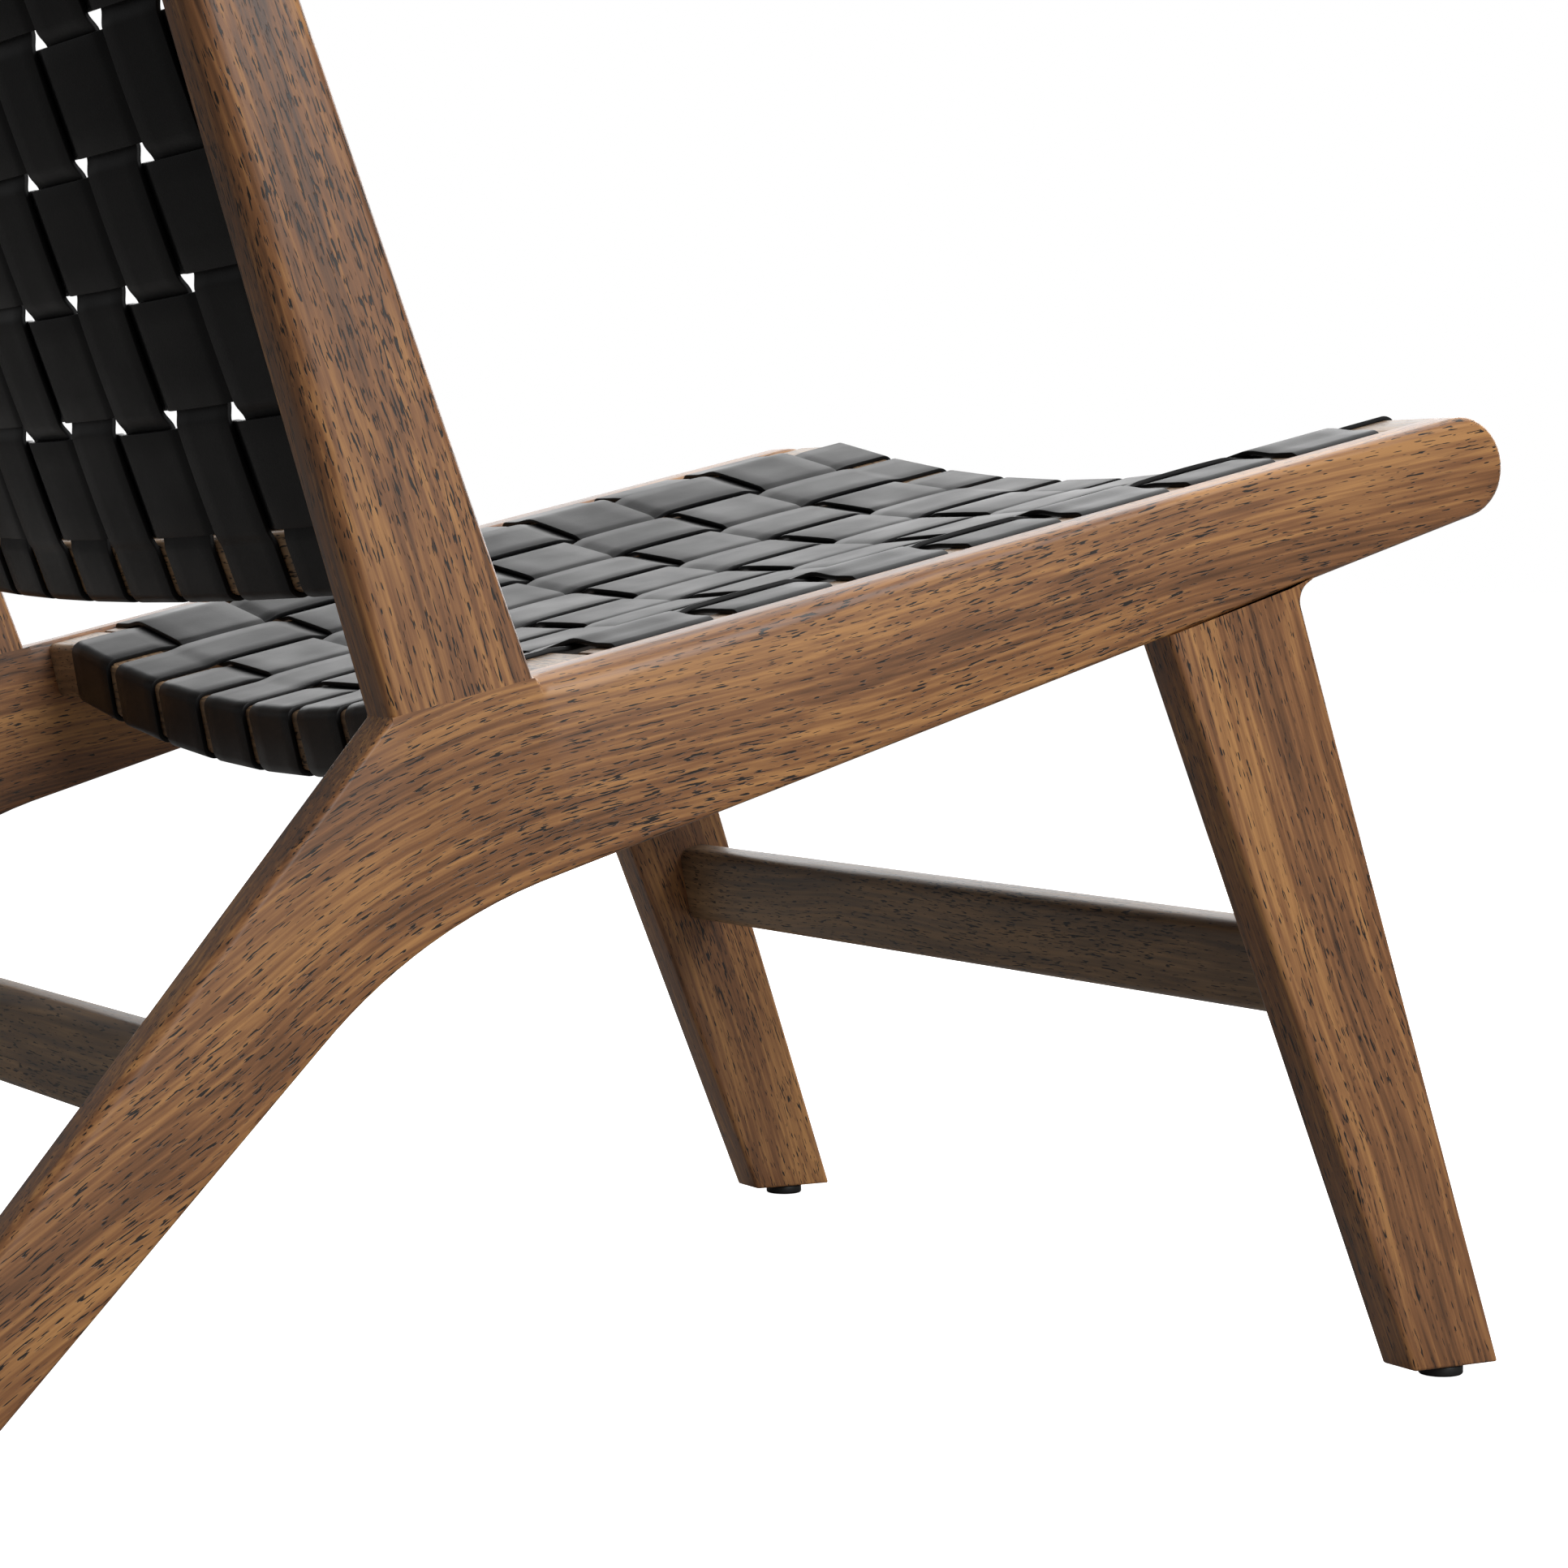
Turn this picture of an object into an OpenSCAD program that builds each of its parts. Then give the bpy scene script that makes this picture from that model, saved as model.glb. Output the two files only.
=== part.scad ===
// Low armless lounge chair: two boomerang side frames, raked front legs and back stiles
// in solid hardwood, with a dished seat and a bowed back of plain-woven flat straps.
// X runs across the chair (+X is the sitter's left), the sitter faces -Y, Z is up.
// The origin is on the floor, midway between the side frames and between toe and heel.

/* [Overall] */
// Width over the two side frames
chair_w = 620; // [520:5:740]
// Depth from the front toes to the rear heels
chair_d = 782; // [720:2:860]
// Height of the top of the back stiles
chair_h = 740; // [620:5:880]
// Thickness of the side frames, front legs and back stiles
board_t = 24; // [20:1:30]

/* [Side frame] */
// Height of the elbow, where the seat rail, rear leg and back stile meet
elbow_z = 302.5; // [270:0.5:340]
// Fall of the seat rails towards the back, in degrees
seat_slope = 13.45; // [8:0.05:16]
// Depth of the seat rail at its rounded nose
nose_h = 44; // [38:1:52]
// Angle by which the seat rail gets deeper towards the back, in degrees
rail_taper = 4.05; // [2:0.05:6]
// Radius of the arch between the seat rail and the rear leg
arch_r = 220; // [120:5:300]
// Angle of the rear leg's back edge from the floor, in degrees
rear_leg_angle = 50.4; // [46:0.1:58]
// Angle by which the rear leg narrows towards its foot, in degrees
rear_leg_taper = 4.15; // [2:0.05:6]
// Length of the rear leg's foot along the floor
rear_foot_w = 51; // [40:1:64]

/* [Front leg] */
// How far the front toe stands ahead of the seat rail's nose
toe_ahead = 1.8; // [0:0.1:30]
// Rake of the front leg's front edge from upright, in degrees
front_leg_rake = 18.3; // [12:0.1:22]
// Angle by which the front leg narrows towards its foot, in degrees
front_leg_taper = 3.9; // [2:0.1:6]
// Length of the front leg's foot along the floor
front_foot_w = 47.5; // [38:0.5:60]
// Radius of the cove where the front leg meets the seat rail
cove_r = 9; // [4:1:14]

/* [Back stile] */
// Length of the stile's base along the seat rail
stile_base = 61.3; // [50:0.1:74]
// Recline of the stile's front edge and of the woven back, in degrees
back_recline = 20.4; // [14:0.1:24]
// Angle by which the stile narrows towards its top, in degrees
stile_taper = 3.5; // [2.5:0.1:4.5]

/* [Stretchers] */
// Height of a stretcher board
stretcher_h = 41; // [30:1:56]
// Thickness of a stretcher board
stretcher_t = 20; // [14:1:24]
// Height of the middle of the front stretcher
front_stretcher_z = 181.5; // [150:0.5:220]
// Height of the middle of the rear stretcher
rear_stretcher_z = 162; // [130:0.5:200]
// Lean of the front stretcher from upright, in degrees
front_stretcher_lean = 11; // [0:1:20]

/* [Woven straps] */
// Width of a strap
strap_w = 44.5; // [38:0.5:56]
// Thickness of a strap
strap_t = 2.2; // [1.6:0.1:3]
// Least air between a strap and whatever it lies on or crosses
strap_gap = 0.044; // [0.03:0.002:0.2]
// Smallest gap between neighbouring straps, which sets how many straps there are
weave_gap = 6; // [5:0.5:8]
// Gap between a side frame and the outermost lengthwise strap
side_gap = 41.4; // [28:0.2:50]

/* [Seat panel] */
// Distance from the stile's base forward to the rear seat rail
seat_stile_gap = 12.4; // [2:0.1:20]
// Distance from the front seat rail to the tip of the nose
seat_nose_gap = 8.5; // [6:0.5:14]
// Gap between a seat rail and the nearest cross strap
seat_edge_gap = 7.5; // [4:0.5:12]
// Size of a seat rail along the seat
seat_rail_w = 30; // [24:1:34]
// Depth of a seat rail
seat_rail_t = 28; // [24:1:34]
// Radius of the dish across the seat
seat_bow_r = 1200; // [1000:20:2000]
// Drop of the seat rails' flat ends below the top of the side frames
seat_drop = 1.5; // [0:0.5:6]

/* [Back panel] */
// Distance along the stile from its base to the bottom back rail
back_rise = 46; // [36:1:60]
// Distance along the stile from the top back rail to the stile's top
back_top_gap = 40; // [20:1:50]
// Gap between a back rail and the nearest cross strap
back_edge_gap = 3.5; // [3.5:0.5:10]
// Size of a back rail along the back
back_rail_w = 26; // [22:1:28]
// Depth of a back rail from front to rear
back_rail_t = 18; // [14:1:22]
// Radius of the rearward bow across the back
back_bow_r = 1800; // [1400:50:4000]
// Distance from the stile's front edge back to the back rails' rear face at their ends
back_inset = 27; // [18:0.5:30]

/* [Battens and fasteners] */
// Width of a strap batten
batten_w = 20; // [16:1:24]
// Depth of a strap batten
batten_t = 18; // [14:1:20]
// Diameter of the leg and stile dowels
leg_dowel_d = 10; // [8:1:12]
// Length of a leg or stile dowel on each side of its joint
leg_dowel_l = 30; // [20:1:34]
// Diameter of the rail and stretcher dowels
rail_dowel_d = 8; // [6:1:10]
// Depth of a rail or stretcher dowel in the side frames
rail_dowel_in = 14; // [10:1:17]
// Depth of a rail or stretcher dowel in the rail
rail_dowel_out = 26; // [20:1:34]
// Diameter of a batten screw's shank
screw_d = 4; // [3:0.5:5]
// Depth of a batten screw in the side frame or stile
screw_in = 15; // [10:1:18]
// Height of a foot glide
glide_h = 5; // [3:1:10]
// Diameter of a foot glide
glide_d = 20; // [14:1:22]

/* [Hidden] */
$fn = 96;
SIDES = [1, -1];

frame_wood = "sienna";
dark_wood = "saddlebrown";
strap_black = [0.10, 0.10, 0.11];
steel = "silver";

half_in = chair_w / 2 - board_t;            // from the middle to a side frame's inner face
board_mid = chair_w / 2 - board_t / 2;
bow_rise = strap_w * strap_w / (8 * min(seat_bow_r, back_bow_r));  // of a bow across one strap
strap_air = strap_gap + bow_rise;           // under the middle or the edges of a flat strap
strap_z = strap_air + strap_t / 2;          // middle of a strap lying on wood
crossing_lift = (strap_t + strap_air) / 2;  // rise or fall of a strap at a crossing
crossing_half = strap_w / 2 + 0.5;          // half the level stretch at a crossing
batten_out = half_in - 2 * strap_z;         // outer face of a batten
batten_in = batten_out - batten_w;
tail_inset = 4;                             // where a tail stops short of the rail's edge
stile_dowel_at = [0.28, 0.70];              // places along the stile's base
leg_dowel_at = [0.30, 0.72];                // places along the front leg's top
pair_spacing = 13;                          // between the two dowels of a rail end
stretcher_pair = 20;                        // between the two dowels of a stretcher end
screw_head_d = 2 * screw_d;
screw_head_h = screw_d / 2;
staple_crown = 12;
staple_wire = 1.0;
staple_leg = 7;
staple_side = 11;                           // from a strap's middle to a staple's middle
staple_inset = 8.8;                         // from the edge of the wood to a staple
glide_pin_d = 3;
glide_pin_l = 14;

// ---------- plane geometry of the side view: [y, z] points and directions ----------

function heading(a) = [cos(a), sin(a)];
function meet(p, a, q, b) =                 // where the line p, a crosses the line q, b
    let (d = heading(a), e = heading(b), w = q - p)
    p + d * ((w[0] * e[1] - w[1] * e[0]) / (d[0] * e[1] - d[1] * e[0]));
function left_of(a, r) = r * [-sin(a), cos(a)];

// Directions, in degrees from +Y towards +Z
top_dir = 180 - seat_slope;                 // forward and up the seat rail
under_dir = top_dir - rail_taper;           // forward and up the underside
rear_dir = -rear_leg_angle;                 // down the rear leg's back edge
inner_dir = rear_dir + rear_leg_taper;      // down the rear leg's front edge
stile_front_dir = 90 - back_recline;
stile_rear_dir = stile_front_dir + stile_taper;
leg_front_dir = 90 - front_leg_rake;
leg_rear_dir = leg_front_dir - front_leg_taper;

toe_y = -chair_d / 2;
elbow = [chair_d / 2 - (elbow_z - glide_h) / tan(rear_leg_angle), elbow_z];
function on_rail(d) = elbow + d * heading(top_dir);
nose_r = nose_h / 2;
nose_y = toe_y + toe_ahead + nose_r;
rail_run = (elbow[0] - nose_y - nose_r * sin(seat_slope)) / cos(seat_slope);
nose = on_rail(rail_run) + left_of(top_dir, nose_r);
nose_top = nose - left_of(top_dir, nose_r);
nose_low = nose + left_of(under_dir, nose_r);
floor_line = [0, glide_h];
rear_heel = meet(elbow, rear_dir, floor_line, 0);
rear_toe = rear_heel - [rear_foot_w, 0];
arch_corner = meet(nose_low, under_dir, rear_toe, inner_dir);
arch_half = (under_dir - 180 - inner_dir) / 2;
arch_run = arch_r * tan(arch_half);
arch_fore = arch_corner + arch_run * heading(under_dir);
arch_aft = arch_corner + arch_run * heading(inner_dir);
arch_centre = arch_fore + left_of(under_dir, arch_r);

front_toe = [toe_y, glide_h];
front_heel = front_toe + [front_foot_w, 0];
leg_top_fore = meet(front_toe, leg_front_dir, nose_low, under_dir);
leg_top_aft = meet(front_heel, leg_rear_dir, nose_low, under_dir);
cove_half = (under_dir - leg_front_dir) / 2;
cove_run = cove_r / tan(cove_half);

stile_fore = on_rail(stile_base);
stile_apex = meet(elbow, stile_rear_dir, stile_fore, stile_front_dir);
stile_axis = (stile_front_dir + stile_rear_dir) / 2;
stile_drop = (stile_apex[1] - chair_h) / (sin(stile_axis) - sin(stile_taper / 2));
stile_tip = stile_apex - stile_drop * heading(stile_axis);
stile_tip_r = stile_drop * sin(stile_taper / 2);
stile_tip_fore = stile_tip + left_of(stile_front_dir, stile_tip_r);
stile_tip_aft = stile_tip - left_of(stile_rear_dir, stile_tip_r);

// ---------- how many straps there are, and how far apart ----------

function strap_count(span) = floor((span + weave_gap) / (strap_w + weave_gap));
function strap_pitch(span) = (span - strap_w) / (strap_count(span) - 1);
long_span = 2 * (half_in - side_gap);
long_count = strap_count(long_span);
long_pitch = strap_pitch(long_span);
flat_x = long_span / 2 + 0.6;               // where the bow of a rail ends

seat_setback = stile_base + seat_stile_gap;
seat_len = rail_run + nose_r - seat_nose_gap - seat_setback;
seat_cross_span = seat_len - 2 * (seat_rail_w + seat_edge_gap);
seat_cross_count = strap_count(seat_cross_span);
seat_cross_pitch = strap_pitch(seat_cross_span);

back_len = (stile_tip - stile_fore) * heading(stile_front_dir) + stile_tip_r
    - back_rise - back_top_gap;
back_cross_span = back_len - 2 * (back_rail_w + back_edge_gap);
back_cross_count = strap_count(back_cross_span);
back_cross_pitch = strap_pitch(back_cross_span);

function middle(p, q) = (p + q) / 2;
function at_height(p, a, z) = meet(p, a, [0, z], 0);
front_stretcher_y = middle(at_height(front_toe, leg_front_dir, front_stretcher_z),
                           at_height(front_heel, leg_rear_dir, front_stretcher_z))[0];
rear_stretcher_y = middle(at_height(rear_toe, inner_dir, rear_stretcher_z),
                          at_height(rear_heel, rear_dir, rear_stretcher_z))[0];
front_stretcher_fore = 5;                   // how far the front stretcher stands forward
rear_stretcher_fore = 14;                   // how far the rear stretcher stands forward

// ---------- placing ----------

// An outline drawn in the side view, given the thickness of a board
module board(x0, thickness) {
    translate([x0, 0, 0]) rotate([90, 0, 90]) linear_extrude(height = thickness) children();
}
// The left piece as drawn, or its mirror image on the right
module on_side(side) { mirror([side > 0 ? 0 : 1, 0, 0]) children(); }

// Seat panel frame: x across, y rearward along the seat, z off the sitting face
module in_seat() {
    place = on_rail(seat_setback) + left_of(top_dir, seat_drop);
    translate([0, place[0], place[1]]) rotate([-seat_slope, 0, 0]) children();
}
// Back panel frame: x across, y down along the back, z off the rear face
module in_back() {
    translate([0, stile_fore[0], stile_fore[1]]) rotate([-back_recline, 0, 0])
        translate([0, back_inset, back_rise]) rotate([-90, 0, 0]) children();
}

// ---------- the bow of a panel and the path of a strap ----------
// bend is 1 for a panel hollow on its strap side and -1 for one that bulges

function bow(r, x) = r - sqrt(r * r - x * x);
function apex_z(r, bend) = -bend * bow(r, flat_x);
function long_x(i) = ((long_count + 1) / 2 - i) * long_pitch;
function tilt(r, i) = asin(long_x(i) / r);
// A point a along and h off the panel's surface at lengthwise strap i
function off_bow(r, bend, i, a, h) = let (t = tilt(r, i))
    [r * sin(t) + a * cos(t) - bend * h * sin(t),
     apex_z(r, bend) + bend * (r - r * cos(t)) + bend * a * sin(t) + h * cos(t)];
function cross_y(len, count, pitch, j) = -len / 2 + ((count + 1) / 2 - j) * pitch;
// 1 where lengthwise strap i lies over cross strap j, otherwise -1
function long_over(i, j) = (i + j) % 2 == 0 ? -1 : 1;

function unit(v) = v / norm(v);
function side_of(v) = [-v[1], v[0]];
function run_dir(p, i) = unit(p[i + 1] - p[i]);
function corner(p, i) =
    i == 0 ? side_of(run_dir(p, 0)) :
    i == len(p) - 1 ? side_of(run_dir(p, i - 1)) :
    let (n = unit(side_of(run_dir(p, i - 1)) + side_of(run_dir(p, i))))
    n / (n * side_of(run_dir(p, i)));
function ribbon(p) = concat(
    [for (i = [0 : len(p) - 1]) p[i] + corner(p, i) * strap_t / 2],
    [for (i = [len(p) - 1 : -1 : 0]) p[i] - corner(p, i) * strap_t / 2]);

// Middle line of a lengthwise strap, as [y, z]: under or round one rail, over the
// weave and back round the other. tail is how far it returns up the rail's inner face.
function long_path(length, rail_w, rail_t, count, pitch, i, tail) =
    let (low = -rail_t - strap_z, far = -length - strap_z)
    concat(
        tail > 0 ? [[-rail_w - strap_z, low + tail], [-rail_w - strap_z, low]]
                 : [[-rail_w + tail_inset, low]],
        [[strap_z, low], [strap_z, strap_z], [-rail_w, strap_z]],
        [for (j = [1 : count], s = SIDES)
            [cross_y(length, count, pitch, j) + s * crossing_half,
             strap_z + long_over(i, j) * crossing_lift]],
        [[-length + rail_w, strap_z], [far, strap_z], [far, low]],
        tail > 0 ? [[-length + rail_w + strap_z, low], [-length + rail_w + strap_z, low + tail]]
                 : [[-length + rail_w - tail_inset, low]]);

// Middle line of a cross strap, as [x, z]: round one batten, through the weave, round the other
function cross_path(r, bend, j) =
    let (low = -batten_t - strap_z, out = batten_out + strap_z)
    concat(
        [[batten_in + tail_inset, low], [out, low], [out, strap_z], [batten_in, strap_z]],
        [for (i = [1 : long_count], s = SIDES)
            off_bow(r, bend, i, s * crossing_half, strap_z - long_over(i, j) * crossing_lift)],
        [[-batten_in, strap_z], [-out, strap_z], [-out, low], [-batten_in - tail_inset, low]]);

// ---------- staples, screws, dowels ----------

// A staple driven along -Z, its crown along X with its underside at z = 0
module staple() {
    translate([-staple_crown / 2, -staple_wire / 2, 0])
        cube([staple_crown, staple_wire, staple_wire]);
    for (s = SIDES)
        translate([s * (staple_crown - staple_wire) / 2 - staple_wire / 2, -staple_wire / 2,
                   -staple_leg])
            cube([staple_wire, staple_wire, staple_leg + staple_wire / 2]);
}
// A countersunk screw along +X, its head flush at x = 0
module screw(length) {
    rotate([0, 90, 0]) {
        cylinder(d1 = screw_head_d, d2 = screw_d, h = screw_head_h);
        cylinder(d = screw_d, h = length);
    }
}
module dowel(d, l0, l1) { translate([0, 0, -l0]) cylinder(d = d, h = l0 + l1); }

// Staples at both tails of lengthwise strap i, in the panel's frame
module long_staple_pair(r, bend, i, length, rail_w, rail_t, tail) {
    low = -rail_t - 2 * strap_z;
    for (end = [0, 1], s = SIDES) swing(r, bend, i)
        translate([s * staple_side, 0, 0])
            if (tail > 0) {
                y = end == 0 ? -rail_w - 2 * strap_z : -length + rail_w + 2 * strap_z;
                translate([0, y, low + strap_t + tail / 2])
                    rotate([end == 0 ? 90 : -90, 0, 0]) staple();
            } else {
                y = end == 0 ? -rail_w + staple_inset : -length + rail_w - staple_inset;
                translate([0, y, low]) rotate([180, 0, 0]) staple();
            }
}
module all_long_staples(r, bend, length, rail_w, rail_t, tail) {
    for (i = [1 : long_count]) long_staple_pair(r, bend, i, length, rail_w, rail_t, tail);
}
// Staples at both tails of cross strap j, under the battens
module cross_staple_pair(j, length, count, pitch) {
    y = cross_y(length, count, pitch, j);
    for (s = SIDES, t = SIDES)
        translate([s * (batten_in + staple_inset), y + t * staple_side,
                   -batten_t - 2 * strap_z])
            rotate([180, 0, 90]) staple();
}
module all_cross_staples(length, count, pitch) {
    for (j = [1 : count]) cross_staple_pair(j, length, count, pitch);
}
// Turn a piece drawn at the middle of a panel to lengthwise strap i's place on the bow
module swing(r, bend, i) {
    translate([0, 0, apex_z(r, bend) + bend * r]) rotate([0, -bend * tilt(r, i), 0])
        translate([0, 0, -bend * r]) children();
}

// Three screws along a batten, each in a gap between cross straps
module batten_screw_set(side, panel_length, count, pitch) {
    for (j = [1.5, floor(count / 2) + 0.5, count - 0.5])
        translate([side * batten_in, cross_y(panel_length, count, pitch, j), -batten_t / 2])
            rotate([0, 0, side > 0 ? 0 : 180]) screw(screw_l);
}
module seat_batten_screw_set(side) {
    batten_screw_set(side, seat_len, seat_cross_count, seat_cross_pitch);
}
module back_batten_screw_set(side) {
    batten_screw_set(side, back_len, back_cross_count, back_cross_pitch);
}
screw_l = half_in - batten_in + screw_in;

// Two dowels in each end of a panel's two rails
module rail_dowel_set(side, length, rail_w, rail_t) {
    for (y = [-rail_w / 2, -length + rail_w / 2], s = SIDES)
        translate([side * half_in, y + s * pair_spacing / 2, -rail_t / 2])
            rotate([0, side * 90, 0]) dowel(rail_dowel_d, rail_dowel_out, rail_dowel_in);
}
module in_front_stretcher() {
    translate([0, front_stretcher_y - front_stretcher_fore, front_stretcher_z])
        rotate([-front_stretcher_lean, 0, 0]) children();
}
module in_rear_stretcher() {
    translate([0, rear_stretcher_y - rear_stretcher_fore, rear_stretcher_z]) children();
}
module stretcher_dowel_set(side) {
    for (s = SIDES) translate([side * half_in, 0, s * stretcher_pair / 2])
        rotate([0, side * 90, 0]) dowel(rail_dowel_d, rail_dowel_out, rail_dowel_in);
}
// Dowels square to a butt joint that runs from p along a, at shares of its length
module joint_dowel_set(p, a, length, places) {
    for (k = places) {
        q = p + k * length * heading(a);
        translate([board_mid, q[0], q[1]]) rotate([a - 180, 0, 0])
            dowel(leg_dowel_d, leg_dowel_l, leg_dowel_l);
    }
}
module front_leg_dowel_pair() {
    joint_dowel_set(leg_top_aft, under_dir, norm(leg_top_fore - leg_top_aft), leg_dowel_at);
}
module back_stile_dowel_pair() {
    joint_dowel_set(elbow, top_dir, stile_base, stile_dowel_at);
}

// ---------- wooden frame ----------

module side_outline() {
    difference() {
        union() {
            polygon([elbow, nose_top, nose, nose_low, arch_corner, rear_toe, rear_heel]);
            translate(nose) circle(r = nose_r);
            polygon([arch_corner, arch_fore, arch_aft]);
        }
        translate(arch_centre) circle(r = arch_r, $fn = 360);
    }
}
module side_frame(side) {
    color(frame_wood) difference() {
        on_side(side) board(half_in, board_t) side_outline();
        on_side(side) {
            front_leg_dowel_pair();
            back_stile_dowel_pair();
        }
        in_seat() rail_dowel_set(side, seat_len, seat_rail_w, seat_rail_t);
        in_seat() seat_batten_screw_set(side);
        in_rear_stretcher() stretcher_dowel_set(side);
        glide_pin_hole(side, rear_glide_y);
    }
}

module leg_outline() {
    polygon([front_toe, front_heel, leg_top_aft, leg_top_fore]);
    difference() {
        polygon([leg_top_fore, leg_top_fore + cove_run * heading(under_dir),
                 leg_top_fore - cove_run * heading(leg_front_dir)]);
        translate(leg_top_fore + cove_run * heading(under_dir) + left_of(under_dir, cove_r))
            circle(r = cove_r);
    }
}
module front_leg(side) {
    color(frame_wood) difference() {
        on_side(side) board(half_in, board_t) leg_outline();
        on_side(side) front_leg_dowel_pair();
        in_front_stretcher() stretcher_dowel_set(side);
        glide_pin_hole(side, front_glide_y);
    }
}

module stile_outline() {
    rise = 2 * stile_tip_r;
    end_fore = stile_tip_fore + rise * heading(stile_front_dir);
    end_aft = stile_tip_aft + rise * heading(stile_rear_dir);
    difference() {
        polygon([elbow, stile_fore, end_fore, end_aft]);
        difference() {
            polygon([stile_tip_fore, end_fore + stile_tip_r * [-1, 1],
                     end_aft + stile_tip_r * [1, 1], stile_tip_aft]);
            translate(stile_tip) circle(r = stile_tip_r);
        }
    }
}
module back_stile(side) {
    color(frame_wood) difference() {
        on_side(side) board(half_in, board_t) stile_outline();
        on_side(side) back_stile_dowel_pair();
        in_back() rail_dowel_set(side, back_len, back_rail_w, back_rail_t);
        in_back() back_batten_screw_set(side);
    }
}

module stretcher_board() {
    translate([-half_in, -stretcher_t / 2, -stretcher_h / 2])
        cube([2 * half_in, stretcher_t, stretcher_h]);
}
module front_stretcher() {
    color(dark_wood) in_front_stretcher() difference() {
        stretcher_board();
        for (s = SIDES) stretcher_dowel_set(s);
    }
}
module rear_stretcher() {
    color(dark_wood) in_rear_stretcher() difference() {
        stretcher_board();
        for (s = SIDES) stretcher_dowel_set(s);
    }
}

// ---------- panel rails and battens ----------

// A rail bowed across the panel, with flat ends, in the panel's frame at y from -width to 0
module bowed_rail(r, bend, width, depth) {
    axis_z = apex_z(r, bend) + bend * r;
    outer = bend > 0 ? r + depth : r;
    inner = bend > 0 ? r : r - depth;
    rotate([90, 0, 0]) linear_extrude(height = width) {
        intersection() {
            translate([0, axis_z]) difference() {
                circle(r = outer, $fn = 720);
                circle(r = inner, $fn = 720);
            }
            translate([-flat_x, -3 * depth]) square([2 * flat_x, 6 * depth]);
        }
        for (s = SIDES)
            translate([s > 0 ? flat_x - 1 : -half_in, -depth])
                square([half_in - flat_x + 1, depth]);
    }
}
module rail_holes(length, rail_w, rail_t) {
    for (s = SIDES) rail_dowel_set(s, length, rail_w, rail_t);
}
module seat_long_staple_set() {
    all_long_staples(seat_bow_r, 1, seat_len, seat_rail_w, seat_rail_t, 0);
}
back_tail = back_rail_t - 5;
module back_upright_staple_set() {
    all_long_staples(back_bow_r, -1, back_len, back_rail_w, back_rail_t, back_tail);
}
module seat_rear_rail() {
    color(dark_wood) in_seat() difference() {
        bowed_rail(seat_bow_r, 1, seat_rail_w, seat_rail_t);
        rail_holes(seat_len, seat_rail_w, seat_rail_t);
        seat_long_staple_set();
    }
}
module seat_front_rail() {
    color(dark_wood) in_seat() difference() {
        translate([0, -seat_len + seat_rail_w, 0])
            bowed_rail(seat_bow_r, 1, seat_rail_w, seat_rail_t);
        rail_holes(seat_len, seat_rail_w, seat_rail_t);
        seat_long_staple_set();
    }
}
module back_bottom_rail() {
    color(dark_wood) in_back() difference() {
        bowed_rail(back_bow_r, -1, back_rail_w, back_rail_t);
        rail_holes(back_len, back_rail_w, back_rail_t);
        back_upright_staple_set();
    }
}
module back_top_rail() {
    color(dark_wood) in_back() difference() {
        translate([0, -back_len + back_rail_w, 0])
            bowed_rail(back_bow_r, -1, back_rail_w, back_rail_t);
        rail_holes(back_len, back_rail_w, back_rail_t);
        back_upright_staple_set();
    }
}
module batten(side, length, rail_w) {
    translate([side > 0 ? batten_in : -batten_out, -length + rail_w, -batten_t])
        cube([batten_w, length - 2 * rail_w, batten_t]);
}
module seat_batten(side) {
    color(dark_wood) in_seat() difference() {
        batten(side, seat_len, seat_rail_w);
        seat_batten_screw_set(side);
        all_cross_staples(seat_len, seat_cross_count, seat_cross_pitch);
    }
}
module back_batten(side) {
    color(dark_wood) in_back() difference() {
        batten(side, back_len, back_rail_w);
        back_batten_screw_set(side);
        all_cross_staples(back_len, back_cross_count, back_cross_pitch);
    }
}

// ---------- straps ----------

module long_strap(r, bend, length, rail_w, rail_t, count, pitch, i, tail) {
    difference() {
        swing(r, bend, i) translate([-strap_w / 2, 0, 0]) rotate([90, 0, 90])
            linear_extrude(height = strap_w)
                polygon(ribbon(long_path(length, rail_w, rail_t, count, pitch, i, tail)));
        long_staple_pair(r, bend, i, length, rail_w, rail_t, tail);
    }
}
module cross_strap(r, bend, length, count, pitch, j) {
    difference() {
        translate([0, cross_y(length, count, pitch, j) + strap_w / 2, 0]) rotate([90, 0, 0])
            linear_extrude(height = strap_w) polygon(ribbon(cross_path(r, bend, j)));
        cross_staple_pair(j, length, count, pitch);
    }
}
module seat_strap_long(i) {
    color(strap_black) in_seat()
        long_strap(seat_bow_r, 1, seat_len, seat_rail_w, seat_rail_t,
                   seat_cross_count, seat_cross_pitch, i, 0);
}
module seat_strap_cross(j) {
    color(strap_black) in_seat()
        cross_strap(seat_bow_r, 1, seat_len, seat_cross_count, seat_cross_pitch, j);
}
module back_strap_upright(i) {
    color(strap_black) in_back()
        long_strap(back_bow_r, -1, back_len, back_rail_w, back_rail_t,
                   back_cross_count, back_cross_pitch, i, back_tail);
}
module back_strap_cross(j) {
    color(strap_black) in_back()
        cross_strap(back_bow_r, -1, back_len, back_cross_count, back_cross_pitch, j);
}

// ---------- fasteners and glides ----------

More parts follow.
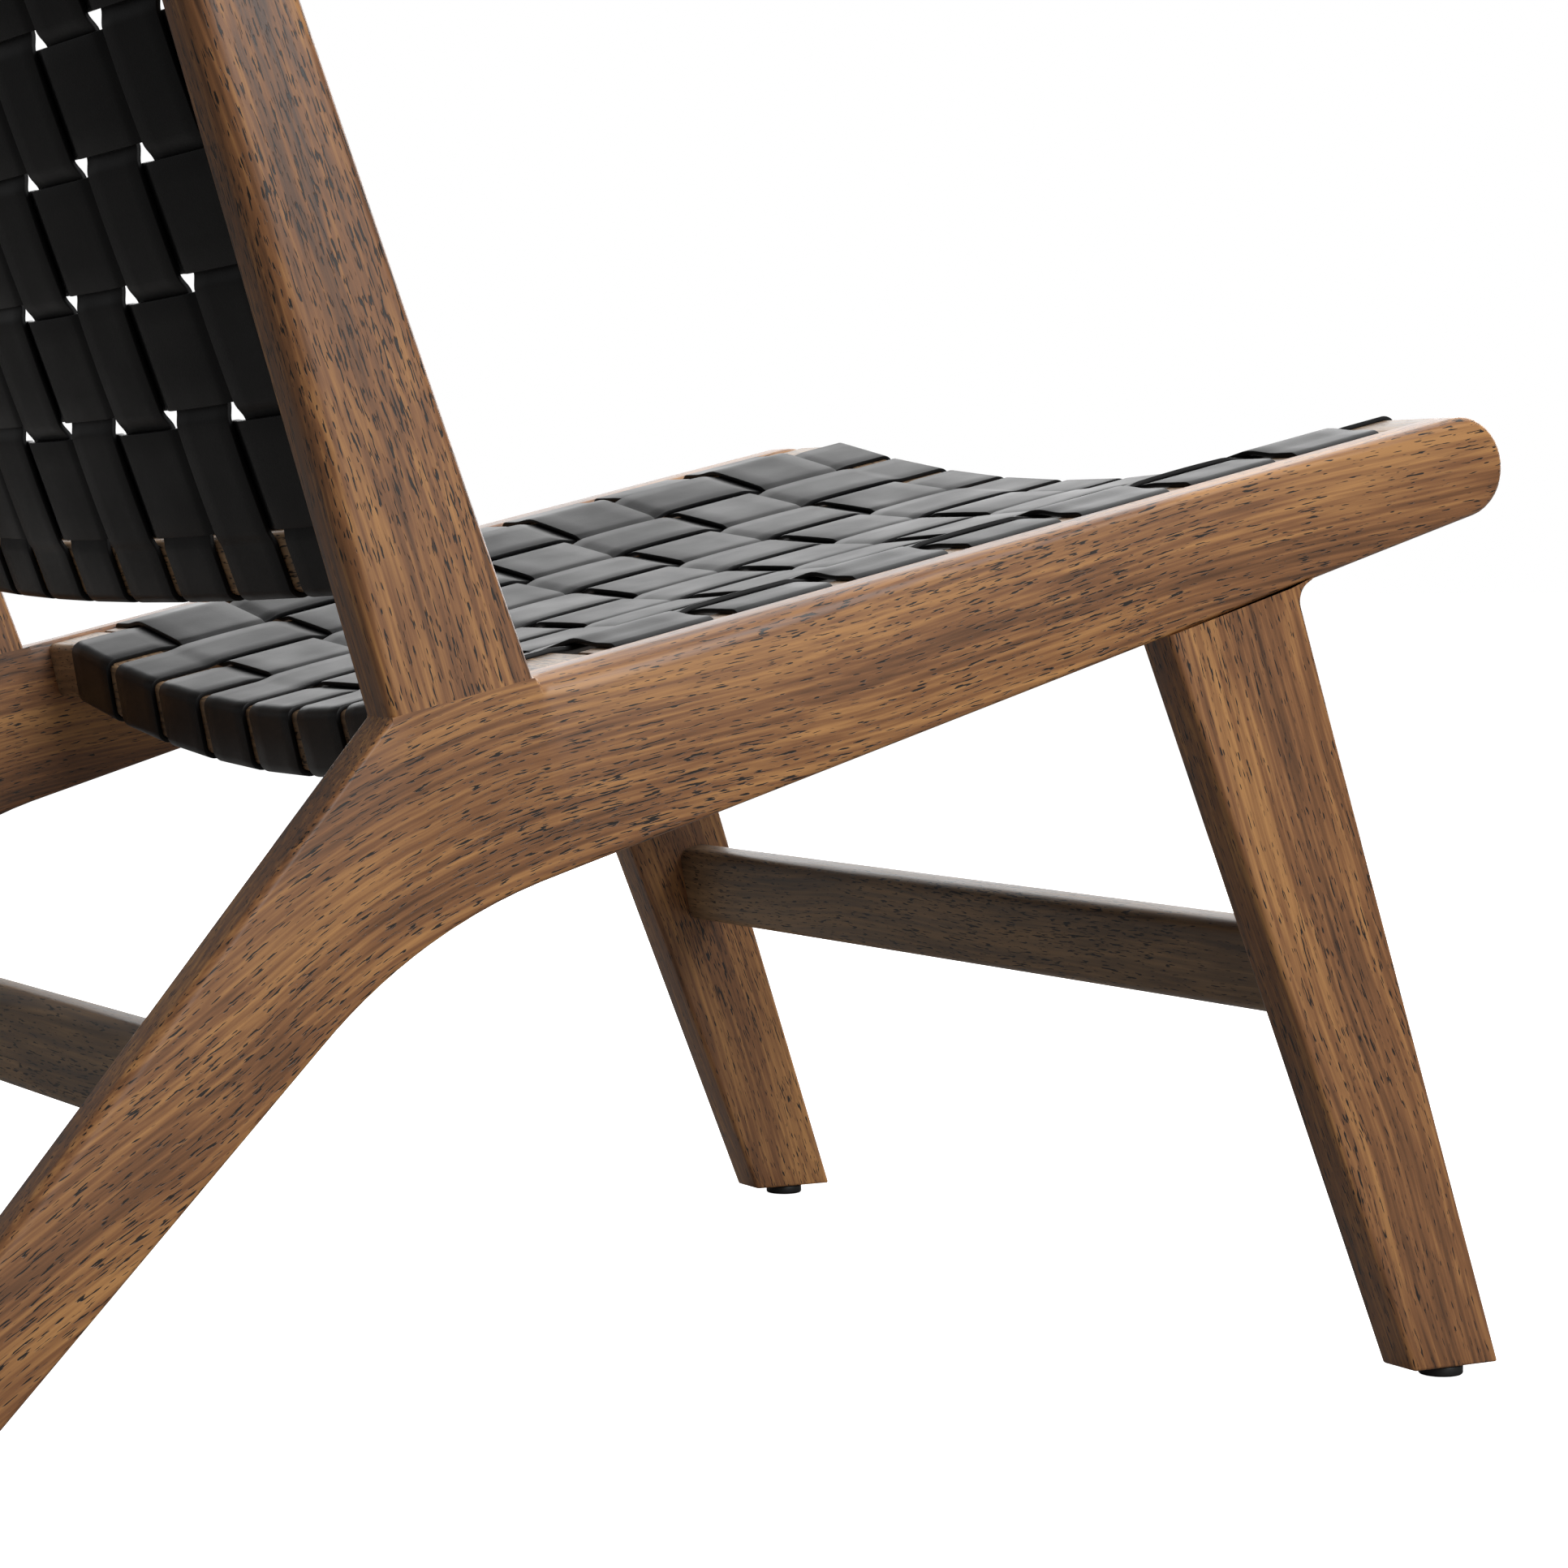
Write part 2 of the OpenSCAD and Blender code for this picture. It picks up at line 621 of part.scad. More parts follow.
module frame_dowels() {
    color("burlywood") for (s = SIDES) on_side(s) {
        front_leg_dowel_pair();
        back_stile_dowel_pair();
    }
}
module rail_dowels() {
    color("burlywood") {
        for (s = SIDES) {
            in_front_stretcher() stretcher_dowel_set(s);
            in_rear_stretcher() stretcher_dowel_set(s);
        }
        in_seat() rail_holes(seat_len, seat_rail_w, seat_rail_t);
        in_back() rail_holes(back_len, back_rail_w, back_rail_t);
    }
}
module batten_screws() {
    color(steel) for (s = SIDES) {
        in_seat() seat_batten_screw_set(s);
        in_back() back_batten_screw_set(s);
    }
}
module seat_staples() {
    color(steel) in_seat() {
        seat_long_staple_set();
        all_cross_staples(seat_len, seat_cross_count, seat_cross_pitch);
    }
}
module back_staples() {
    color(steel) in_back() {
        back_upright_staple_set();
        all_cross_staples(back_len, back_cross_count, back_cross_pitch);
    }
}

front_glide_y = middle(front_toe, front_heel)[0];
rear_glide_y = middle(rear_toe, rear_heel)[0];
module glide_pin(x, y) {
    translate([x, y, glide_h]) cylinder(d = glide_pin_d, h = glide_pin_l);
}
module glide_pin_hole(side, y) { glide_pin(side * board_mid, y); }
module glide(x, y) {
    translate([x, y, 0]) cylinder(d = glide_d, h = glide_h);
    glide_pin(x, y);
}
module foot_glides() {
    color([0.08, 0.08, 0.08]) for (s = SIDES, y = [front_glide_y, rear_glide_y])
        glide(s * board_mid, y);
}

side_frame(1);  // side_frame_left
side_frame(-1);  // side_frame_right
front_leg(1);  // front_leg_left
front_leg(-1);  // front_leg_right
back_stile(1);  // back_stile_left
back_stile(-1);  // back_stile_right
front_stretcher();
rear_stretcher();
seat_front_rail();
seat_rear_rail();
seat_batten(1);  // seat_batten_left
seat_batten(-1);  // seat_batten_right
back_top_rail();
back_bottom_rail();
back_batten(1);  // back_batten_left
back_batten(-1);  // back_batten_right
for (i = [1 : long_count]) {
    seat_strap_long(i);
    back_strap_upright(i);
}
for (j = [1 : seat_cross_count])
    seat_strap_cross(j);
for (j = [1 : back_cross_count])
    back_strap_cross(j);
frame_dowels();
rail_dowels();
batten_screws();
seat_staples();
back_staples();
foot_glides();
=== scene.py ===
"""Looks of a low woven lounge chair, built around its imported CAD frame. Lengths are in metres."""

import logging
import math
import random
from contextlib import contextmanager
from dataclasses import dataclass
from enum import Enum
from typing import Callable, Iterator, Sequence

import bpy
from bpy.types import Material, Mesh, MeshEdge, NodeSocket, NodeTree, Object
from mathutils import Matrix, Vector


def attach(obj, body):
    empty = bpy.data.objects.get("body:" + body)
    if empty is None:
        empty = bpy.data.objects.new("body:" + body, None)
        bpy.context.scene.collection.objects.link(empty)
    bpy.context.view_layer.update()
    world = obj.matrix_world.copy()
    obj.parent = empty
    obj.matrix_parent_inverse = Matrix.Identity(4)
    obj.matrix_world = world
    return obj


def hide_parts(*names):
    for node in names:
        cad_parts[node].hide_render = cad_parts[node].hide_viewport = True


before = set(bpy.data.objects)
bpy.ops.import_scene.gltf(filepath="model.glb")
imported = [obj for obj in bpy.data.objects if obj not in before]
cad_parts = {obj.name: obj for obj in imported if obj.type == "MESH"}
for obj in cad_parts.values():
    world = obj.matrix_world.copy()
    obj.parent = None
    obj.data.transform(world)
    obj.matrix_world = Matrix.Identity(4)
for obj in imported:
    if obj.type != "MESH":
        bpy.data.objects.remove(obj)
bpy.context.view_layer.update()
log = logging.getLogger("lounge_chair")

BODY = "root"
SMOOTH_ANGLE = math.radians(32.0)
SHARP_ANGLE = math.radians(60.0)
TINY = 1e-6


class Side(Enum):
    """A side of the chair, as the sign of X."""

    LEFT = 1
    RIGHT = -1

    @property
    def word(self) -> str:
        """The side's name in node names."""
        return self.name.lower()


class Edge(Enum):
    """One of the four long edges of a board drawn in the side view."""

    UPPER_OUTER = "upper outer"
    UPPER_INNER = "upper inner"
    LOWER_OUTER = "lower outer"
    LOWER_INNER = "lower inner"


# ---------- plane geometry of the side view: (y, z) vectors and degrees ----------


def heading(angle: float) -> Vector:
    """The unit direction at an angle from +Y towards +Z."""
    return Vector((math.cos(math.radians(angle)), math.sin(math.radians(angle))))


def left_of(angle: float, distance: float) -> Vector:
    """A step of a distance to the left of a heading."""
    return distance * heading(angle + 90.0)


def turned_about_x(angle: float) -> Matrix:
    """A rotation about X, in degrees."""
    return Matrix.Rotation(math.radians(angle), 4, "X")


def meet(p: Vector, a: float, q: Vector, b: float) -> Vector:
    """Where two lines cross.

    Args:
        p: a point on the first line.
        a: the first line's heading.
        q: a point on the second line.
        b: the second line's heading.

    Returns:
        The crossing point.
    """
    d, e, w = heading(a), heading(b), q - p
    return p + d * ((w.x * e.y - w.y * e.x) / (d.x * e.y - d.y * e.x))


def arc(centre: Vector, radius: float, start: float, end: float, steps: int) -> list[Vector]:
    """Points along an arc.

    Args:
        centre: the arc's centre.
        radius: its radius.
        start: the angle of its first point, in degrees.
        end: the angle of its last point.
        steps: how many equal steps it takes.

    Returns:
        The points, both ends included.
    """
    return [centre + radius * heading(start + (end - start) * k / steps) for k in range(steps + 1)]


def along(line: Sequence[Vector], shares: Sequence[float]) -> list[Vector]:
    """Points at given shares of a broken line's length.

    Args:
        line: the line's corners.
        shares: shares from 0 to 1.

    Returns:
        One point for each share.
    """
    lengths = [(b - a).length for a, b in zip(line, line[1:])]
    total = sum(lengths)
    points = []
    for share in shares:
        left, k = share * total, 0
        while k < len(lengths) - 1 and left > lengths[k]:
            left -= lengths[k]
            k += 1
        points.append(line[k].lerp(line[k + 1], left / lengths[k]))
    return points


def spread(count: int) -> list[float]:
    """Equal shares from 0 to 1 in count steps."""
    return [k / count for k in range(count + 1)]


def interpolate(table: Sequence[tuple[float, float]], at: float) -> float:
    """Read a smooth curve through a short table.

    Args:
        table: (place, value) pairs in rising order of place.
        at: the place to read.

    Returns:
        The value there, or the nearest end's value outside the table.
    """
    if at <= table[0][0]:
        return table[0][1]
    for (x0, y0), (x1, y1) in zip(table, table[1:]):
        if at <= x1:
            t = (at - x0) / (x1 - x0)
            return y0 + (y1 - y0) * t * t * (3.0 - 2.0 * t)
    return table[-1][1]


# ---------- mesh work ----------


def deselect() -> None:
    """Leave nothing selected."""
    bpy.ops.object.select_all(action="DESELECT")


def activate(piece: Object) -> None:
    """Make one object the only selected and active one."""
    deselect()
    piece.select_set(True)
    bpy.context.view_layer.objects.active = piece


@contextmanager
def editing(piece: Object) -> Iterator[None]:
    """Edit one mesh, with all of it selected on the way in."""
    activate(piece)
    bpy.ops.object.mode_set(mode="EDIT")
    bpy.ops.mesh.select_all(action="SELECT")
    yield
    bpy.ops.object.mode_set(mode="OBJECT")


def labels(mesh: Mesh) -> tuple[list[int], list[int]]:
    """The column and the row that each point of a shaped grid came from."""
    columns, rows = [[value.value for value in mesh.attributes[name].data]
                     for name in ("column", "row")]
    return columns, rows


def shaped_grid(name: str, columns: int, rows: int,
                place: Callable[[int, int], Vector]) -> Object:
    """Add a grid and move its points onto a surface.

    Args:
        name: the new object's name.
        columns: faces along the grid.
        rows: faces across the grid.
        place: gives the position of the point at a column and a row.

    Returns:
        The object, with its place in its mesh and "column" and "row" kept on its points.
    """
    deselect()
    bpy.ops.mesh.primitive_grid_add(x_subdivisions=columns, y_subdivisions=rows, size=1.0)
    piece = bpy.context.active_object
    piece.name = name
    mesh = piece.data
    mesh.name = name
    column_of = mesh.attributes.new("column", "INT", "POINT")
    row_of = mesh.attributes.new("row", "INT", "POINT")
    for vertex in mesh.vertices:
        column = round((vertex.co.x + 0.5) * columns)
        row = round((vertex.co.y + 0.5) * rows)
        column_of.data[vertex.index].value = column
        row_of.data[vertex.index].value = row
        vertex.co = place(column, row)
    return piece


def thicken(piece: Object, step: Vector) -> None:
    """Extrude a flat strip into a closed board.

    Args:
        piece: the strip.
        step: the way and distance to extrude.
    """
    with editing(piece):
        bpy.ops.mesh.extrude_region_move(TRANSFORM_OT_translate={"value": step})
        bpy.ops.mesh.select_all(action="SELECT")
        bpy.ops.mesh.remove_doubles(threshold=TINY)
        bpy.ops.mesh.normals_make_consistent(inside=False)


def face_out(piece: Object) -> None:
    """Turn every face of a mesh outwards."""
    with editing(piece):
        bpy.ops.mesh.normals_make_consistent(inside=False)


def dissolve(piece: Object, chosen: Callable[[MeshEdge], bool]) -> None:
    """Dissolve chosen edges and keep their points.

    Args:
        piece: the object to change.
        chosen: tells whether an edge goes.
    """
    with editing(piece):
        bpy.ops.mesh.select_mode(type="EDGE")
        bpy.ops.mesh.select_all(action="DESELECT")
    for edge in piece.data.edges:
        edge.select = chosen(edge)
    bpy.ops.object.mode_set(mode="EDIT")
    bpy.ops.mesh.dissolve_edges(use_verts=False)
    bpy.ops.mesh.select_mode(type="VERT")
    bpy.ops.object.mode_set(mode="OBJECT")


def apply_modifier(piece: Object, kind: str, **settings: object) -> None:
    """Add a modifier and apply it.

    Args:
        piece: the object to change.
        kind: the modifier's type.
        **settings: the modifier's properties.
    """
    activate(piece)
    modifier = piece.modifiers.new(kind.lower(), kind)
    for key, value in settings.items():
        setattr(modifier, key, value)
    bpy.ops.object.modifier_apply(modifier=modifier.name)


def round_edges(piece: Object, depth_of: Callable[[MeshEdge], float],
                segments: int) -> None:
    """Round chosen edges, each to its own depth.

    Args:
        piece: the object to round.
        depth_of: gives an edge's rounding depth, or 0 to leave it sharp.
        segments: faces across a rounding.
    """
    mesh = piece.data
    depths = [depth_of(edge) for edge in mesh.edges]
    widest = max(depths)
    weights = mesh.attributes.new("bevel_weight_edge", "FLOAT", "EDGE")
    for edge, depth in zip(mesh.edges, depths):
        weights.data[edge.index].value = depth / widest
    apply_modifier(piece, "BEVEL", limit_method="WEIGHT", width=widest, segments=segments,
                   use_clamp_overlap=False)


def lay_grain(piece: Object, to_grain: Callable[[Vector], Vector], seed: int) -> None:
    """Store where each point lies in its own plank, for the wood's pattern to follow.

    Args:
        piece: the finished mesh.
        to_grain: turns a point into plank coordinates, with the grain along X.
        seed: picks the plank, so that no two pieces show the same figure.
    """
    draw = random.Random(seed)
    shift = Vector([draw.uniform(-3.0, 3.0) for _ in range(3)])
    grain = piece.data.attributes.new("grain", "FLOAT_VECTOR", "POINT")
    for vertex in piece.data.vertices:
        grain.data[vertex.index].vector = to_grain(vertex.co) + shift


def finish_piece(piece: Object, node: str,
                 materials: Sequence[Material]) -> None:
    """Smooth a piece, dress it and put it in its CAD node's place.

    Args:
        piece: the finished mesh object.
        node: the CAD node that it stands for.
        materials: its materials, in the order of its faces' material numbers.
    """
    for name in ("column", "row", "bevel_weight_edge"):
        attribute = piece.data.attributes.get(name)
        if attribute is not None:
            piece.data.attributes.remove(attribute)
    for material in materials:
        piece.data.materials.append(material)
    activate(piece)
    bpy.ops.object.shade_smooth_by_angle(angle=SMOOTH_ANGLE)
    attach(piece, BODY)
    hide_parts(node)
    log.info("%s stands for %s: %d faces", piece.name, node, len(piece.data.polygons))


# ---------- finishes ----------


def linear(code: str) -> tuple[float, float, float, float]:
    """Turn an sRGB hex colour into linear red, green, blue and alpha."""
    parts = [int(code[k:k + 2], 16) / 255.0 for k in (1, 3, 5)]
    red, green, blue = [p / 12.92 if p <= 0.04045 else ((p + 0.055) / 1.055) ** 2.4
                        for p in parts]
    return red, green, blue, 1.0


def add_node(tree: NodeTree, kind: str, inputs: dict | None = None, out: int | str = 0,
             ramp: Sequence[tuple[float, tuple]] = (), **settings: object) -> NodeSocket | None:
    """Add a shader node with its settings and links.

    Args:
        tree: the node tree to add it to.
        kind: the node's type, without its "ShaderNode".
        inputs: socket name or number to a value, or to the output socket that feeds it.
        out: the output to return.
        ramp: (place, colour) stops, for a colour ramp.
        **settings: the node's own properties.

    Returns:
        The chosen output socket, or None where the node has no outputs.
    """
    node = tree.nodes.new("ShaderNode" + kind)
    for key, value in settings.items():
        setattr(node, key, value)
    for key, value in (inputs or {}).items():
        if isinstance(value, NodeSocket):
            tree.links.new(value, node.inputs[key])
        else:
            node.inputs[key].default_value = value
    for k, (place, colour) in enumerate(ramp):
        stops = node.color_ramp.elements
        stop = stops[k] if k < 2 else stops.new(place)
        stop.position = place
        stop.color = colour
    return node.outputs[out] if node.outputs else None


def new_material(name: str) -> tuple[Material, NodeTree]:
    """Start a material from an empty node tree."""
    material = bpy.data.materials.new(name)
    material.use_nodes = True
    material.node_tree.nodes.clear()
    return material, material.node_tree


WHITE = (1.0, 1.0, 1.0, 1.0)


@dataclass(frozen=True)
class WoodFinish:
    """Solid walnut-toned hardwood, planed along the grain, stained and oiled."""

    name: str
    light: str
    mid: str
    dark: str
    pore: str
    roughness: float = 0.46
    coat: float = 0.26
    band_mm: float = 34.0
    fibre_mm: float = 2.2
    pore_mm: float = 0.80
    pore_run_mm: float = 8.0

    def build(self) -> Material:
        """Make the material.

        Returns:
            A material that reads the "grain" attribute, whose X runs along the grain.
        """
        # Open-pored walnut: broad bands of tone, fine fibres, and short dark pore dashes
        # that lie along the grain and are felt as scratches.
        material, tree = new_material(self.name)
        grain = add_node(tree, "Attribute", out="Vector", attribute_name="grain")
        wander = add_node(tree, "TexNoise", {"Vector": grain, "Scale": 3.0, "Detail": 2.0}, "Color")
        bend = add_node(tree, "VectorMath", {0: wander, 1: (0.5, 0.5, 0.5)}, operation="SUBTRACT")
        sway = add_node(tree, "VectorMath", {0: bend, 1: (0.0, 0.03, 0.03)}, operation="MULTIPLY")
        plank = add_node(tree, "VectorMath", {0: grain, 1: sway})
        across = 1000.0 / self.band_mm
        bands = self.streaks(tree, plank, across * 0.10, across, 3.0)
        across = 1000.0 / self.fibre_mm
        fibres = self.streaks(tree, plank, across * 0.03, across, 5.0)
        pores = self.streaks(tree, plank, 1000.0 / self.pore_run_mm, 1000.0 / self.pore_mm, 1.0)
        patches = self.streaks(tree, plank, 6.0, 16.0, 2.0)

        tone = add_node(tree, "Mix", {0: 0.48, 2: bands, 3: fibres})
        base = add_node(tree, "ValToRGB", {0: tone},
                        ramp=[(0.36, linear(self.dark)), (0.63, linear(self.light)),
                              (0.50, linear(self.mid))])
        # Pores gather in some patches of the plank and are rare in others
        dense = add_node(tree, "MapRange", {0: patches, 1: 0.35, 2: 0.65, 3: 0.655, 4: 0.57})
        edge = add_node(tree, "Math", {0: pores, 1: dense}, operation="SUBTRACT")
        depth = add_node(tree, "MapRange", {0: edge, 1: 0.0, 2: 0.035})
        colour = add_node(tree, "Mix", {0: depth, 6: base, 7: linear(self.pore)}, 2,
                          data_type="RGBA")
        fine = add_node(tree, "Math", {0: fibres, 1: 0.35}, operation="MULTIPLY")
        height = add_node(tree, "Math", {0: fine, 1: depth}, operation="SUBTRACT")
        bump = add_node(tree, "Bump", {"Strength": 0.35, "Distance": 0.0004, "Height": height})
        rough = add_node(tree, "MapRange", {0: fibres, 1: 0.3, 2: 0.7, 3: self.roughness - 0.06,
                                            4: self.roughness + 0.08})
        surface = add_node(tree, "BsdfPrincipled",
                           {"Base Color": colour, "Roughness": rough, "Normal": bump, "IOR": 1.5,
                            "Coat Weight": self.coat, "Coat Roughness": 0.3})
        add_node(tree, "OutputMaterial", {0: surface})
        return material

    def streaks(self, tree: NodeTree, plank: NodeSocket, lengthwise: float,
                crosswise: float, detail: float) -> NodeSocket:
        """A noise drawn out along the grain.

        Args:
            tree: the material's node tree.
            plank: the plank coordinates.
            lengthwise: features in a metre along the grain.
            crosswise: features in a metre across the grain.
            detail: the noise's octaves.

        Returns:
            The noise's value socket.
        """
        scale = (lengthwise, crosswise, crosswise)
        place = add_node(tree, "Mapping", {"Vector": plank, "Scale": scale})
        return add_node(tree, "TexNoise", {"Vector": place, "Scale": 1.0, "Detail": detail}, "Fac")


@dataclass(frozen=True)
class LeatherFinish:
    """Smooth black strap leather, drum-dyed and pressed, with a semi-matt topcoat."""

    name: str
    colour: str = "#0b0b0c"
    worn: str = "#111112"
    roughness: float = 0.42
    grain_mm: float = 0.9

    def build(self) -> Material:
        """Make the material from Object coordinates."""
        # A pressed grain too fine to see singly softens the shine, with slow changes of gloss
        material, tree = new_material(self.name)
        place = add_node(tree, "TexCoord", out="Object")
        grain = add_node(tree, "TexVoronoi", {"Vector": place, "Scale": 1000.0 / self.grain_mm},
                         "Distance")
        cloud = add_node(tree, "TexNoise", {"Vector": place, "Scale": 22.0, "Detail": 3.0}, "Fac")
        tone = add_node(tree, "Mix", {0: cloud, 6: linear(self.colour), 7: linear(self.worn)}, 2,
                        data_type="RGBA")
        rough = add_node(tree, "MapRange", {0: cloud, 1: 0.3, 2: 0.7, 3: self.roughness - 0.05,
                                            4: self.roughness + 0.06})
        bump = add_node(tree, "Bump", {"Strength": 0.12, "Distance": 0.0002, "Height": grain})
        surface = add_node(tree, "BsdfPrincipled",
                           {"Base Color": tone, "Roughness": rough, "Normal": bump, "IOR": 1.46,
                            "Specular IOR Level": 0.22})
        add_node(tree, "OutputMaterial", {0: surface})
        return material


@dataclass(frozen=True)
class CutEdgeFinish:
    """The raw cut edge of a leather strap, fibrous and paler where the dyeing is thin, and made paler
    still as painted highlight for the light caught along the straps' top edges.
    """

    name: str
    dye_tone_and_highlight: str = "#5c5c5e"
    fibre_tone_and_highlight: str = "#c4c4c6"
    fibre_mm: float = 1.4

    def build(self) -> Material:
        """Make the material from Object coordinates."""
        material, tree = new_material(self.name)
        place = add_node(tree, "TexCoord", out="Object")
        scale = 1000.0 / self.fibre_mm
        nap = add_node(tree, "TexNoise", {"Vector": place, "Scale": scale, "Detail": 3.0}, "Fac")
        # Both ramp colours are partly painted highlight, lighter than a raw edge alone, standing in
        # for light caught along the straps' top edges
        tone = add_node(tree, "ValToRGB", {0: nap},
                        ramp=[(0.42, linear(self.dye_tone_and_highlight)), (0.64, linear(self.fibre_tone_and_highlight))])
        bump = add_node(tree, "Bump", {"Strength": 0.5, "Distance": 0.0003, "Height": nap})
        surface = add_node(tree, "BsdfPrincipled",
                           {"Base Color": tone, "Normal": bump, "Roughness": 0.85, "IOR": 1.46})
        add_node(tree, "OutputMaterial", {0: surface})
        return material


@dataclass(frozen=True)
class PlainFinish:
    """A small part's finish: one colour, broken by fine marks in tone, gloss and relief."""

    name: str
    colour: str
    marks: str
    mark_mm: float
    roughness: float
    metallic: float = 0.0

    def build(self) -> Material:
        """Make the material from Object coordinates."""
        material, tree = new_material(self.name)
        place = add_node(tree, "TexCoord", out="Object")
        scale = 1000.0 / self.mark_mm
        marks = add_node(tree, "TexNoise", {"Vector": place, "Scale": scale, "Detail": 3.0}, "Fac")
        tone = add_node(tree, "Mix", {0: marks, 6: linear(self.colour), 7: linear(self.marks)}, 2,
                        data_type="RGBA")
        rough = add_node(tree, "MapRange",
                         {0: marks, 3: self.roughness - 0.06, 4: self.roughness + 0.06})
        bump = add_node(tree, "Bump", {"Strength": 0.15, "Distance": 0.0001, "Height": marks})
        surface = add_node(tree, "BsdfPrincipled",
                           {"Base Color": tone, "Roughness": rough, "Normal": bump,
                            "Metallic": self.metallic})
        add_node(tree, "OutputMaterial", {0: surface})
        return material


# ---------- the wooden frame ----------


@dataclass
class SideView:
    """The lines of the frame in the side view: sizes in metres, angles in degrees."""

    depth: float = 0.782
    height: float = 0.740
    elbow_z: float = 0.3025
    seat_slope: float = 13.45
    nose_h: float = 0.044
    rail_taper: float = 4.05
    arch_r: float = 0.220
    rear_leg_angle: float = 50.4
    rear_leg_taper: float = 4.15
    rear_foot_w: float = 0.051
    toe_ahead: float = 0.0018
    front_leg_rake: float = 18.3
    front_leg_taper: float = 3.9
    front_foot_w: float = 0.0475
    cove_r: float = 0.009
    stile_base: float = 0.0613
    back_recline: float = 20.4
    stile_taper: float = 3.5
    glide_h: float = 0.005
    seat_stile_gap: float = 0.0124
    seat_nose_gap: float = 0.0085
    seat_drop: float = 0.0015
    back_rise: float = 0.046
    back_top_gap: float = 0.040
    back_inset: float = 0.027

    def __post_init__(self) -> None:
        """Work out the corners that several pieces share."""
        self.top_dir = 180.0 - self.seat_slope
        self.under_dir = self.top_dir - self.rail_taper
        self.rear_dir = -self.rear_leg_angle
        self.inner_dir = self.rear_dir + self.rear_leg_taper
        self.stile_front_dir = 90.0 - self.back_recline
        self.stile_rear_dir = self.stile_front_dir + self.stile_taper
        self.leg_front_dir = 90.0 - self.front_leg_rake
        self.leg_rear_dir = self.leg_front_dir - self.front_leg_taper
        rise = self.elbow_z - self.glide_h
        run = rise / math.tan(math.radians(self.rear_leg_angle))
        self.elbow = Vector((self.depth / 2 - run, self.elbow_z))
        nose_r = self.nose_h / 2
        slope = math.radians(self.seat_slope)
        nose_y = -self.depth / 2 + self.toe_ahead + nose_r
        self.rail_run = (self.elbow.x - nose_y - nose_r * math.sin(slope)) / math.cos(slope)
        self.nose_r = nose_r
        self.nose = self.on_rail(self.rail_run) + left_of(self.top_dir, nose_r)
        self.nose_low = self.nose + left_of(self.under_dir, nose_r)
        floor = Vector((0.0, self.glide_h))
        self.rear_heel = meet(self.elbow, self.rear_dir, floor, 0.0)
        self.rear_toe = self.rear_heel - Vector((self.rear_foot_w, 0.0))
        self.front_toe = Vector((-self.depth / 2, self.glide_h))
        self.front_heel = self.front_toe + Vector((self.front_foot_w, 0.0))
        self.stile_fore = self.on_rail(self.stile_base)
        apex = meet(self.elbow, self.stile_rear_dir, self.stile_fore, self.stile_front_dir)
        self.stile_axis = (self.stile_front_dir + self.stile_rear_dir) / 2
        taper = math.sin(math.radians(self.stile_taper / 2))
        drop = (apex.y - self.height) / (math.sin(math.radians(self.stile_axis)) - taper)
        self.stile_top = apex - drop * heading(self.stile_axis)
        self.stile_top_r = drop * taper

    def on_rail(self, distance: float) -> Vector:
        """A point on the rail's top edge, at a distance from the elbow."""
        return self.elbow + distance * heading(self.top_dir)


@dataclass
class FrameBoard:
    """A board of the frame: a strip of stations in the side view, thickened and rounded."""

    node: str
    side: Side
    inner_x: float
    thickness: float
    upper: list[Vector]
    lower: list[Vector]
    depths: dict[Edge, Callable[[Vector], float]]
    end_depths: tuple[float, float] = (0.0, 0.0)
    rounded: range = range(0)

    def build(self) -> Object:
        """Model the board.

        Returns:
            The rounded board, in its place.
        """
        sign = self.side.value
        columns = len(self.upper) - 1

        def place(column: int, row: int) -> Vector:
            """The side view's point on the board's inner face."""
            point = (self.lower if row == 0 else self.upper)[column]
            return Vector((sign * self.inner_x, point.x, point.y))

        board = shaped_grid(self.node + "_wood", columns, 1, place)
        thicken(board, Vector((sign * self.thickness, 0.0, 0.0)))
        mesh = board.data
        column_of, row_of = labels(mesh)

        def rung(edge: MeshEdge) -> bool:
            """Whether an edge joins the upper and lower lines in the rounded end."""
            a, b = edge.vertices
            return (column_of[a] == column_of[b] and column_of[a] in self.rounded
                    and row_of[a] != row_of[b])

        # A rounding would slide along the rungs, which lie close to the end's arc
        dissolve(board, rung)
        middle = self.inner_x + self.thickness / 2

        def depth_of(edge: MeshEdge) -> float:
            """How deep to round an edge, from where it lies on the board."""
            a, b = edge.vertices
            centre = (mesh.vertices[a].co + mesh.vertices[b].co) / 2
            span = abs(mesh.vertices[a].co.x - mesh.vertices[b].co.x)
            if span < TINY and column_of[a] != column_of[b]:
                row = row_of[a if 0 < column_of[a] < columns else b]
                outer = abs(centre.x) > middle
                words = ("lower" if row == 0 else "upper", "outer" if outer else "inner")
                return self.depths[Edge(" ".join(words))](Vector((centre.y, centre.z)))
            if column_of[a] == column_of[b] and column_of[a] in (0, columns):
                return self.end_depths[0 if column_of[a] == 0 else 1]
            return 0.0

        round_edges(board, depth_of, segments=5)
        return board


